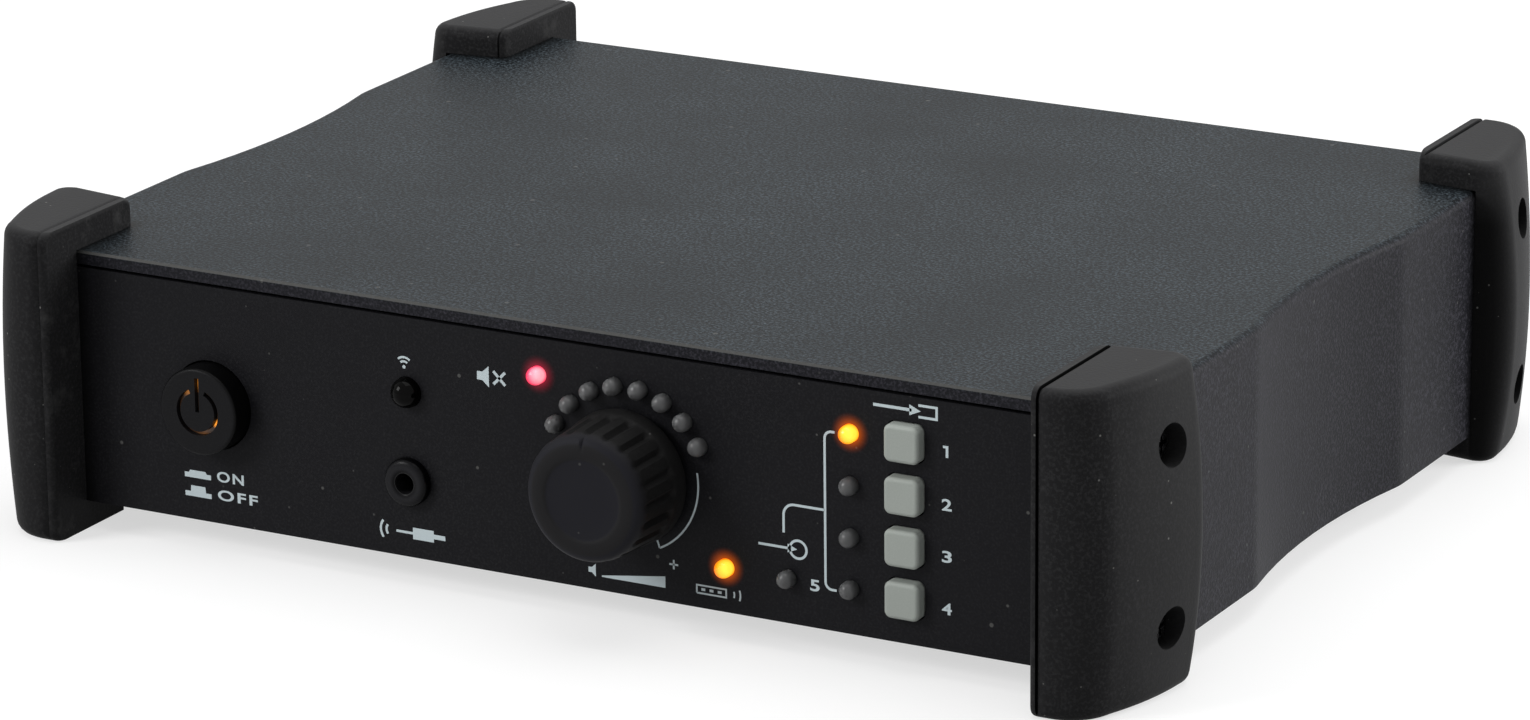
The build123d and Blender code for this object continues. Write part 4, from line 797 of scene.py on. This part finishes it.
def make_grip_rubber():
    """Dark dusty rubber, with painted light on the face: a shade paler there, and bluer in the dish."""
    finish, tree, shader, place = grained(
        "grip_rubber", (0.0085, 0.0084, 0.0085), (0.0175, 0.0173, 0.0175),
        grains=2200.0, rough=0.56, specular=0.06, relief=0.4,
    )
    depth = add(tree, "SeparateXYZ", {"Vector": place}).outputs["Y"]
    reach = times(tree, PANEL_Y, depth, "SUBTRACT")
    # Painted light and shade: the face is laid paler than the flutes, which stand in their own shade.
    face = band(tree, reach, *FACE_REACH)
    over(tree, shader, face, FACE_PAINTED_LIGHT)
    over(tree, shader, times(tree, face, band(tree, reach, *DISH_REACH)), DISH_COLOUR)
    dusted(tree, shader, place, cells=420.0, share=0.2)
    return finish


grip = turned("volume_grip", KNOB_X, PANEL_MIDDLE, KNOB_ROWS, KNOB_STEPS, knob_shape)
close_turned()
grip.data.materials.append(make_grip_rubber())
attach(grip, "volume_knob")
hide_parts("knob_grip")
dress(black_moulding, "knob_core", "encoder_push_plate")
dress(aluminium, "encoder_shaft")
dress(nickel, "encoder_body", "encoder_bushing", "encoder_nut")


# The source keys: square caps of warm grey plastic with rounded edges.
# Each is moulded with wings that keep it behind the panel, and presses a small switch.

key_plastic = grained(
    "key_plastic", (0.37, 0.4, 0.37), (0.41, 0.44, 0.41),
    grains=3600.0, rough=0.5, specular=0.25, relief=0.25,
)[0]
for number in range(1, 5):
    dress(key_plastic, f"source_button_{number}")
    dress(black_moulding, f"tact_plunger_{number}")
dress(black_moulding, "tact_switches")


# The cover: the top and both scalloped side walls, one aluminium extrusion cut to length.
# It has a fine dark grey powder coat, thin on the sharp cut edge over the panel, and
# that edge overhangs the panel as a lip.

COVER_TOP = 0.049
COVER_CHAMFER = 0.00035
COVER_TURN = (0.00005, 0.0007)
COVER_WORN = (0.085, 0.085, 0.082)
WORN_FADE = 0.00008
WORN_SHARE = 0.8
WALL_PAINTED_SHADE_TONE = (0.9, 0.68, 0.72)
WALL_PAINTED_SHADE_COLOUR = (0.0185, 0.0183, 0.0235)
WALL_PAINTED_SHADE_MIX = 0.4
CASE_SIDE = 102.9
CASE_MIDDLE_Y = 0.00275
BUMPER_LENGTH = 17.3
BUMPER_WALL_LENGTH = 19.0


def from_middle(tree, place):
    """The place measured from the middle of the case, alike for all four corners."""
    moved = add(tree, "VectorMath", {0: place, 1: (0.0, CASE_MIDDLE_Y, 0.0)}, operation="SUBTRACT")
    return add(tree, "VectorMath", {0: moved.outputs["Vector"]}, operation="ABSOLUTE").outputs["Vector"]


def bumper_seam(tree, place):
    """1 where a bumper lies on the case, falling off over a narrow seam round it, where dirt and painted
    contact shade go.
    """
    slant = (BUMPER_WALL_LENGTH - BUMPER_LENGTH) / (CASE_SIDE - BUMPER_INNER)
    end = (CASE_MIDDLE_Y - PANEL_Y) / MM - BUMPER_LENGTH + slant * BUMPER_INNER
    corner = add(tree, "SeparateXYZ", {"Vector": from_middle(tree, place)}).outputs
    towards_end = times(tree, corner["Y"], times(tree, corner["X"], slant), "ADD")
    beside = band(tree, corner["X"], BUMPER_INNER - SEAM, BUMPER_INNER)
    return times(tree, beside, band(tree, towards_end, end - SEAM, end))


def make_cover_coat():
    """Fine powder coat with painted shade on the walls, worn pale along the front edge, and dirt and
    painted contact shade by the bumpers.
    """
    finish, tree, shader, place = grained(
        "cover_coat", (0.002, 0.0032, 0.0044), (0.086, 0.11, 0.128),
        grains=1900.0, rough=0.5, specular=0.084, relief=0.8, patch=0.99, depth=0.0001,
    )
    split = add(tree, "SeparateXYZ", {"Vector": place}).outputs
    back = times(tree, split["Y"], PANEL_Y, "SUBTRACT")
    below = times(tree, COVER_TOP, split["Z"], "SUBTRACT")
    # Painted shade: the walls are laid darker and plainer than the top, as less light falls on them.
    walls = spread(tree, below, *COVER_TURN)
    under = shader.inputs["Base Color"].links[0].from_socket
    walls_darker = tint(tree, 1.0, under, WALL_PAINTED_SHADE_TONE, "MULTIPLY")
    walls_painted_shade = tint(tree, WALL_PAINTED_SHADE_MIX, walls_darker, WALL_PAINTED_SHADE_COLOUR)
    tree.links.new(tint(tree, walls, under, walls_painted_shade), shader.inputs["Base Color"])
    off_edge = times(tree, back, below, "ADD")
    edge = spread(tree, off_edge, COVER_CHAMFER + WORN_FADE, COVER_CHAMFER, 0.0, WORN_SHARE)
    over(tree, shader, edge, COVER_WORN)
    dusted(tree, shader, place, cells=260.0, share=0.25)
    # Dirt and painted contact shade round each bumper.
    over(tree, shader, times(tree, bumper_seam(tree, place), SEAM_SHARE), SEAM_DIRT_AND_SHADE_COLOUR)
    return finish


dress(make_cover_coat(), "top_cover")


# The corner bumpers: four moulded rubber corners, flat in front, bowed and splayed at the side.
# Each one grips the case with a lip above and below, and two blackened screws hold it.
# The rubber is matt and dusty, with a small moulded step beside the lip, painted with shade on one pair.

CASE_HEIGHT = 44.0
BUMPER_HEIGHT = 54.0
BUMPER_REACH = 9.5
BUMPER_SIDE = 2.28
BUMPER_SPLAY = math.radians(15.5)
SIDE_BULGE = 2.75
CORNER_BULGE = 1.3
FLANK_BOW = 0.75
CORNER_AT_ENDS = 8.5
CORNER_AT_MIDDLE = 9.5
TIP_RADIUS = 3.6
TIP_LEAST = 0.6
INNER_END_RADIUS = 2.0
INNER_RADIUS = 1.1
RIM_RADIUS = 2.0
SOFT_EDGE = 0.5
SOFT_ANGLE = math.radians(50)
BUMPER_SMOOTH = math.radians(35)
TIP_RAKE = 0.25
FLANK_STEPS = 8
RIM_STEPS = 5
MIDDLE_STEPS = 16
SCREW_DEPTH = 8.2
SCREW_HEIGHTS = (12.0, 42.0)
SCREW_SEAT = 0.8
POCKET_RADIUS = 3.5
POCKET_PAST = 20.0
POCKET_FADE = 0.1
BORE_RADIUS = 1.75
BORE_END = 2.0
LIP = 5.0
FOOT_CUT = 6.5
CASE_CUT = 60.0
CUT_PAST = 1.0
CUT_CLEAR = 0.01
BLADE_PAST = 3.0
BLADE_STEPS = 8
PARTING_PLACE = 1.25
PARTING_WIDTH = 1.0
PARTING_DEPTH = 0.6
PARTING_RUN_OUT = -0.05
STEP_SHADE_START = (-0.04, -0.01)
STEP_SHADE_END = (0.35, 0.25)
ONE_PAIR = (0.0, -0.001)
STEP_PAINTED_SHADE_COLOUR = (0.002, 0.002, 0.002)
PAINTED_SHADE_COLOUR = (0.0025, 0.0025, 0.0025)
SCUFF_COLOUR = (0.08, 0.08, 0.08)
SCUFF_WIDTH = 2.5
SCUFF_RANGE = (0.56, 0.74)
SCUFF_SHARE = 0.35
PAINTED_LIGHT_AND_DUST_COLOUR = (0.05, 0.05, 0.051)
FLANK_PAINTED_LIGHT = (102.5, 105.5)
FLANK_LIGHT_SHARE = 0.36
END_PAINTED_SHADE = (64.0, 60.0)
END_SHADE_TOP = (51.0, 43.0)
END_SHADE_FADE = 0.4
END_SHADE_SHARE = 0.9
TOP_DUST_AND_SHEEN_DEPTH = 0.8
TOP_DUST_AND_SHEEN_SHARE = 0.5


def rounded(before, corner, after, radius, count):
    """Points round a corner of a plan."""
    back, on = (before - corner).normalized(), (after - corner).normalized()
    half = back.angle(on) / 2
    centre = corner + (back + on).normalized() * radius / math.sin(half)
    first = (corner + back * radius / math.tan(half) - centre).normalized()
    last = (corner + on * radius / math.tan(half) - centre).normalized()
    return [centre + radius * first.slerp(last, step / count) for step in range(count + 1)]


def bumper_plan(height):
    """The front right bumper's plan at a height, as points of (x, depth) in millimetres."""
    bow = (2 * height / BUMPER_HEIGHT - 1) ** 2
    near = RIM_RADIUS - min(height, BUMPER_HEIGHT - height, RIM_RADIUS)
    drawn = RIM_RADIUS - math.sqrt(RIM_RADIUS ** 2 - near ** 2)
    front = drawn - BUMPER_REACH
    inset = (SIDE_BULGE * bow + drawn) / math.cos(BUMPER_SPLAY)
    slope = math.tan(BUMPER_SPLAY)
    side = CASE_SIDE + BUMPER_SIDE
    tip = side - inset + BUMPER_LENGTH * slope
    foot = side - (CORNER_BULGE * bow + drawn) / math.cos(BUMPER_SPLAY) + front * slope
    inner_front, outer_front = Vector((BUMPER_INNER, front)), Vector((foot, front))
    inner_end = Vector((BUMPER_INNER, BUMPER_LENGTH - drawn))
    wall = Vector((CASE_SIDE, BUMPER_WALL_LENGTH - drawn))
    outer_end = Vector((tip, BUMPER_LENGTH - drawn + TIP_RAKE * inset))
    corner = CORNER_AT_MIDDLE + (CORNER_AT_ENDS - CORNER_AT_MIDDLE) * bow - drawn
    turn = rounded(inner_front, outer_front, outer_end, corner, count=12)
    end = rounded(outer_front, outer_end, wall, max(TIP_RADIUS - drawn, TIP_LEAST), count=7)
    outward = Vector((end[0].y - turn[-1].y, turn[-1].x - end[0].x)).normalized()
    flank = []
    for share in [step / FLANK_STEPS for step in range(1, FLANK_STEPS)]:
        flank.append(turn[-1].lerp(end[0], share) + outward * 4 * FLANK_BOW * share * (1 - share))
    return [
        *rounded(inner_end, inner_front, outer_front, INNER_RADIUS, count=5), *turn, *flank, *end, wall,
        *rounded(wall, inner_end, inner_front, INNER_END_RADIUS, count=6),
    ]


def bumper_rows():
    """The heights of the plan's rows: close together round the two rims, wider between them."""
    turns = [math.radians(90 * step / RIM_STEPS) for step in range(RIM_STEPS + 1)]
    low = [RIM_RADIUS * (1 - math.cos(turn)) for turn in turns]
    between = BUMPER_HEIGHT - 2 * RIM_RADIUS
    middle = [RIM_RADIUS + between * step / MIDDLE_STEPS for step in range(1, MIDDLE_STEPS)]
    return low + middle + [BUMPER_HEIGHT - height for height in reversed(low)]


def at_case(x, depth, height):
    """A place by x, depth behind the panel face and height over the floor, in millimetres."""
    return Vector((x * MM, PANEL_Y + depth * MM, height * MM))


def cut(piece, tool):
    """Cuts one solid out of another and removes the tool."""
    bpy.context.view_layer.objects.active = piece
    saw = piece.modifiers.new("cut", "BOOLEAN")
    saw.operation = "DIFFERENCE"
    saw.solver = "EXACT"
    saw.object = tool
    bpy.ops.object.modifier_apply(modifier=saw.name)
    bpy.data.objects.remove(tool)


def bar(outline, reach):
    """A solid drawn from an outline of places along a vector in millimetres."""
    piece = start_outline(outline)
    bpy.ops.mesh.extrude_region_move(TRANSFORM_OT_translate={"value": [part * MM for part in reach]})
    face_outwards()
    return piece


def side_rod(start, end, depth, height, radius):
    """A round bar across the case between two x places."""
    outline = arc(depth, height, radius, 0, 360, 48)[:-1]
    return bar([at_case(start, *point) for point in outline], (end - start, 0.0, 0.0))


def parting_slice(x, under):
    """The front and the top of the bumper in a slice across the case, so far under its skin."""
    front, top, radius = under - BUMPER_REACH, BUMPER_HEIGHT - under, RIM_RADIUS - under
    before, after = -BUMPER_REACH - BLADE_PAST, BUMPER_LENGTH + BLADE_PAST
    above = BUMPER_HEIGHT + BLADE_PAST
    path = [(before, -BLADE_PAST), (front, -BLADE_PAST), (front, top - radius)]
    for step in range(1, BLADE_STEPS + 1):
        turn = math.radians(90 * step / BLADE_STEPS)
        path.append((front + radius * (1 - math.cos(turn)), top - radius * (1 - math.sin(turn))))
    path += [(after, top), (after, above), (before, above)]
    return [at_case(x, depth, height) for depth, height in path]


def parting_blade():
    """A wedge round the front and the top of the bumper: deep beside the lip, running out on the body."""
    near = BUMPER_INNER + PARTING_PLACE
    piece = start_outline(parting_slice(near, PARTING_DEPTH))
    bpy.ops.mesh.extrude_region_move()
    place_selected(piece, parting_slice(near + PARTING_WIDTH, PARTING_RUN_OUT))
    face_outwards()
    return piece


def hold(piece):
    """Makes a piece the only one selected and the one worked on."""
    bpy.ops.object.select_all(action="DESELECT")
    piece.select_set(True)
    bpy.context.view_layer.objects.active = piece


def make_bumper():
    """The front right bumper: stacked rows of its plan, cut to fit the case, softened and parted."""
    first, *others = bumper_rows()
    piece = start_outline([at_case(x, depth, first) for x, depth in bumper_plan(first)])
    for height in others:
        bpy.ops.mesh.extrude_region_move()
        place_selected(piece, [at_case(x, depth, height) for x, depth in bumper_plan(height)])
    face_outwards()
    case_plan = ((-CASE_SIDE, 0), (CASE_SIDE, 0), (CASE_SIDE, CASE_CUT), (-CASE_SIDE, CASE_CUT))
    cut(piece, bar([at_case(x, depth, LIP) for x, depth in case_plan], (0.0, 0.0, CASE_HEIGHT)))
    end, inner = BUMPER_LENGTH, BUMPER_INNER - CUT_CLEAR
    wedge = ((inner, end - FOOT_CUT), (inner, end + FOOT_CUT), (inner + 2 * FOOT_CUT, end + FOOT_CUT))
    cut(piece, bar([at_case(x, depth, -CUT_PAST) for x, depth in wedge], (0.0, 0.0, LIP + CUT_PAST)))
    for height in SCREW_HEIGHTS:
        seat, past = CASE_SIDE + SCREW_SEAT, CASE_SIDE + POCKET_PAST
        cut(piece, side_rod(seat, past, SCREW_DEPTH, height, POCKET_RADIUS))
        cut(piece, side_rod(CASE_SIDE - CUT_PAST, CASE_SIDE + BORE_END, SCREW_DEPTH, height, BORE_RADIUS))
    hold(piece)
    soft = piece.modifiers.new("soft_edges", "BEVEL")
    soft.width = SOFT_EDGE * MM
    soft.segments = 3
    soft.limit_method = "ANGLE"
    soft.angle_limit = SOFT_ANGLE
    bpy.ops.object.modifier_apply(modifier=soft.name)
    cut(piece, parting_blade())
    piece.select_set(True)
    bpy.ops.object.shade_smooth_by_angle(angle=BUMPER_SMOOTH)
    return piece


def make_rubber():
    """Matt black rubber: dust, scuffed lips, painted light on the flanks, dust and painted sheen on top,
    painted shade on the ends, in the screw pockets and in the step.
    """
    finish, tree, shader, place = grained(
        "bumper_rubber", (0.0142, 0.0142, 0.0149), (0.034, 0.034, 0.0352),
        grains=1800.0, rough=0.56, specular=0.035, relief=0.8,
    )
    mirrored = from_middle(tree, place)
    split = add(tree, "SeparateXYZ", {"Vector": mirrored}).outputs
    noise = {"Vector": place, "Scale": 160.0, "Detail": 4.0, "Roughness": 0.7}
    smear = spread(tree, add(tree, "TexNoise", noise).outputs["Fac"], *SCUFF_RANGE)
    edge = band(tree, split["X"], BUMPER_INNER + SCUFF_WIDTH, BUMPER_INNER, SCUFF_SHARE)
    over(tree, shader, times(tree, edge, smear), SCUFF_COLOUR)
    # Painted light: the outer flank is laid paler.
    over(tree, shader, band(tree, split["X"], *FLANK_PAINTED_LIGHT, FLANK_LIGHT_SHARE), PAINTED_LIGHT_AND_DUST_COLOUR)
    # Painted shade on the ends beside the case wall, below the top lip.
    beside_wall = band(tree, split["X"], CASE_SIDE - END_SHADE_FADE, CASE_SIDE, END_SHADE_SHARE)
    below = band(tree, split["Z"], *END_SHADE_TOP)
    end_shade = times(tree, band(tree, split["Y"], *END_PAINTED_SHADE), times(tree, beside_wall, below))
    over(tree, shader, end_shade, PAINTED_SHADE_COLOUR)
    # Dust and painted sheen: the top is laid paler.
    dust_and_sheen = band(tree, split["Z"], BUMPER_HEIGHT - TOP_DUST_AND_SHEEN_DEPTH, BUMPER_HEIGHT, TOP_DUST_AND_SHEEN_SHARE)
    over(tree, shader, dust_and_sheen, PAINTED_LIGHT_AND_DUST_COLOUR)
    dusted(tree, shader, place, cells=520.0, share=0.6)
    # Painted shade in the step beside the lip, on the front right and rear left bumpers only.
    past_lip, in_step = [
        band(tree, split["X"], *[BUMPER_INNER + PARTING_PLACE + x for x in ends])
        for ends in (STEP_SHADE_START, STEP_SHADE_END)
    ]
    own = add(tree, "SeparateXYZ", {"Vector": place}).outputs
    one_pair = spread(tree, times(tree, own["X"], own["Y"]), *ONE_PAIR)
    over(tree, shader, times(tree, times(tree, past_lip, in_step), one_pair), STEP_PAINTED_SHADE_COLOUR)
    # Painted shade inside the screw pockets.
    for height in SCREW_HEIGHTS:
        axis = (0.0, CASE_MIDDLE_Y - PANEL_Y - SCREW_DEPTH * MM, height * MM)
        distance = distance_from(tree, mirrored, axis, axes=(0.0, 1.0, 1.0))
        pocket = band(tree, distance, POCKET_RADIUS + POCKET_FADE, POCKET_RADIUS - POCKET_FADE)
        over(tree, shader, pocket, PAINTED_SHADE_COLOUR)
    return finish


def copy_across(piece, name, turn):
    """A mirrored copy with its own mesh, about the middle of the case."""
    hold(piece)
    bpy.ops.object.duplicate()
    twin = bpy.context.object
    bpy.ops.object.mode_set(mode="EDIT")
    bpy.ops.mesh.select_all(action="SELECT")
    bpy.ops.transform.resize(value=turn, center_override=(0.0, CASE_MIDDLE_Y, 0.0))
    bpy.ops.mesh.normals_make_consistent(inside=False)
    bpy.ops.object.mode_set(mode="OBJECT")
    twin.name = twin.data.name = name
    return twin


bumper = make_bumper()
bumper.data.materials.append(make_rubber())
bumper.name = bumper.data.name = "corner_front_right"
bumpers = {
    "bumper_front_right": bumper,
    "bumper_front_left": copy_across(bumper, "corner_front_left", (-1.0, 1.0, 1.0)),
    "bumper_rear_right": copy_across(bumper, "corner_rear_right", (1.0, -1.0, 1.0)),
    "bumper_rear_left": copy_across(bumper, "corner_rear_left", (-1.0, -1.0, 1.0)),
}
for replaced, piece in bumpers.items():
    bpy.context.view_layer.objects.active = piece
    flats = piece.modifiers.new("flat_faces", "WEIGHTED_NORMAL")
    flats.keep_sharp = True
    bpy.ops.object.modifier_apply(modifier=flats.name)
    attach(piece, "chassis")
    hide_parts(replaced)
dress(metal("black_oxide", (0.05, 0.05, 0.053), rough=0.24), "bumper_screws")


# The studio: a pale floor, soft lights above and at two sides, and the photograph's viewpoint.
# The floor shows near white and keeps the shadow, and the world behind it is white.

FLOOR_SIZE = 12.0
FLOOR_GLOW = 0.62
FLOOR_COLOUR = (0.42, 0.42, 0.42)
WORLD_LEVEL = 0.38
MIDDLE_AIM = (0.0, 0.0, 0.03)


def seen(tree):
    """1 for what the camera sees directly or in a reflection."""
    path = add(tree, "LightPath").outputs
    both = times(tree, path["Is Camera Ray"], path["Is Glossy Ray"], "MAXIMUM")
    return times(tree, both, path["Is Transmission Ray"], "MAXIMUM")


def make_floor():
    """A wide pale sheet, a little bright of its own where the camera sees it."""
    bpy.ops.object.select_all(action="DESELECT")
    bpy.ops.mesh.primitive_plane_add(size=FLOOR_SIZE, location=(0.0, 0.0, 0.0))
    floor = bpy.context.object
    floor.name = floor.data.name = "floor"
    finish = bpy.data.materials.new("floor_paper")
    finish.use_nodes = True
    tree = finish.node_tree
    floor.data.materials.append(fill_finish(finish, {
        "Base Color": (*FLOOR_COLOUR, 1.0), "Roughness": 0.9, "Specular IOR Level": 0.0,
        "Emission Color": tint(tree, seen(tree), (0.0, 0.0, 0.0), (FLOOR_GLOW,) * 3),
        "Emission Strength": 1.0,
    }))


def light_world(level):
    """White where it is seen, and an even soft light otherwise."""
    world = bpy.data.worlds.new("studio")
    bpy.context.scene.world = world
    world.use_nodes = True
    tree = world.node_tree
    shown = tint(tree, seen(tree), (level,) * 3, (1.0, 1.0, 1.0))
    fill(tree, tree.nodes["Background"], {"Color": shown, "Strength": 1.0})


def softbox(name, place, aim, size, power):
    """A square soft light, turned towards a point."""
    bpy.ops.object.select_all(action="DESELECT")
    bpy.ops.object.light_add(type="AREA", location=place)
    lamp = bpy.context.object
    lamp.name = name
    lamp.data.size = size
    lamp.data.energy = power
    lamp.rotation_euler = (Vector(aim) - Vector(place)).to_track_quat("-Z", "Y").to_euler()


make_floor()
light_world(WORLD_LEVEL)
softbox("overhead", (0.1, 0.15, 1.3), (0.0, 0.0, 0.02), size=1.2, power=9.0)
softbox("right_fill", (1.15, 0.75, 0.5), MIDDLE_AIM, size=0.7, power=14.0)
softbox("front_fill", (-0.8, -0.9, 0.7), MIDDLE_AIM, size=0.5, power=9.3)

CAMERA_PLACE = Vector((0.5248, -0.956, 0.3645))
CAMERA_AIM = Vector((0.0, CASE_MIDDLE_Y, 0.027))
CAMERA_ROLL = math.radians(-0.524)
CAMERA_LENS = 156.93
CAMERA_SENSOR = 36.0
CAMERA_SHIFT = (-0.0109, -0.0226)
bpy.ops.object.camera_add(location=CAMERA_PLACE)
camera = bpy.context.object
camera.data.lens = CAMERA_LENS
camera.data.sensor_width = CAMERA_SENSOR
camera.data.shift_x, camera.data.shift_y = CAMERA_SHIFT
camera.rotation_mode = "QUATERNION"
looking = (CAMERA_AIM - CAMERA_PLACE).to_track_quat("-Z", "Y")
camera.rotation_quaternion = looking @ Quaternion((0.0, 0.0, 1.0), CAMERA_ROLL)
bpy.context.scene.camera = camera
bpy.context.scene.view_settings.view_transform = "Standard"
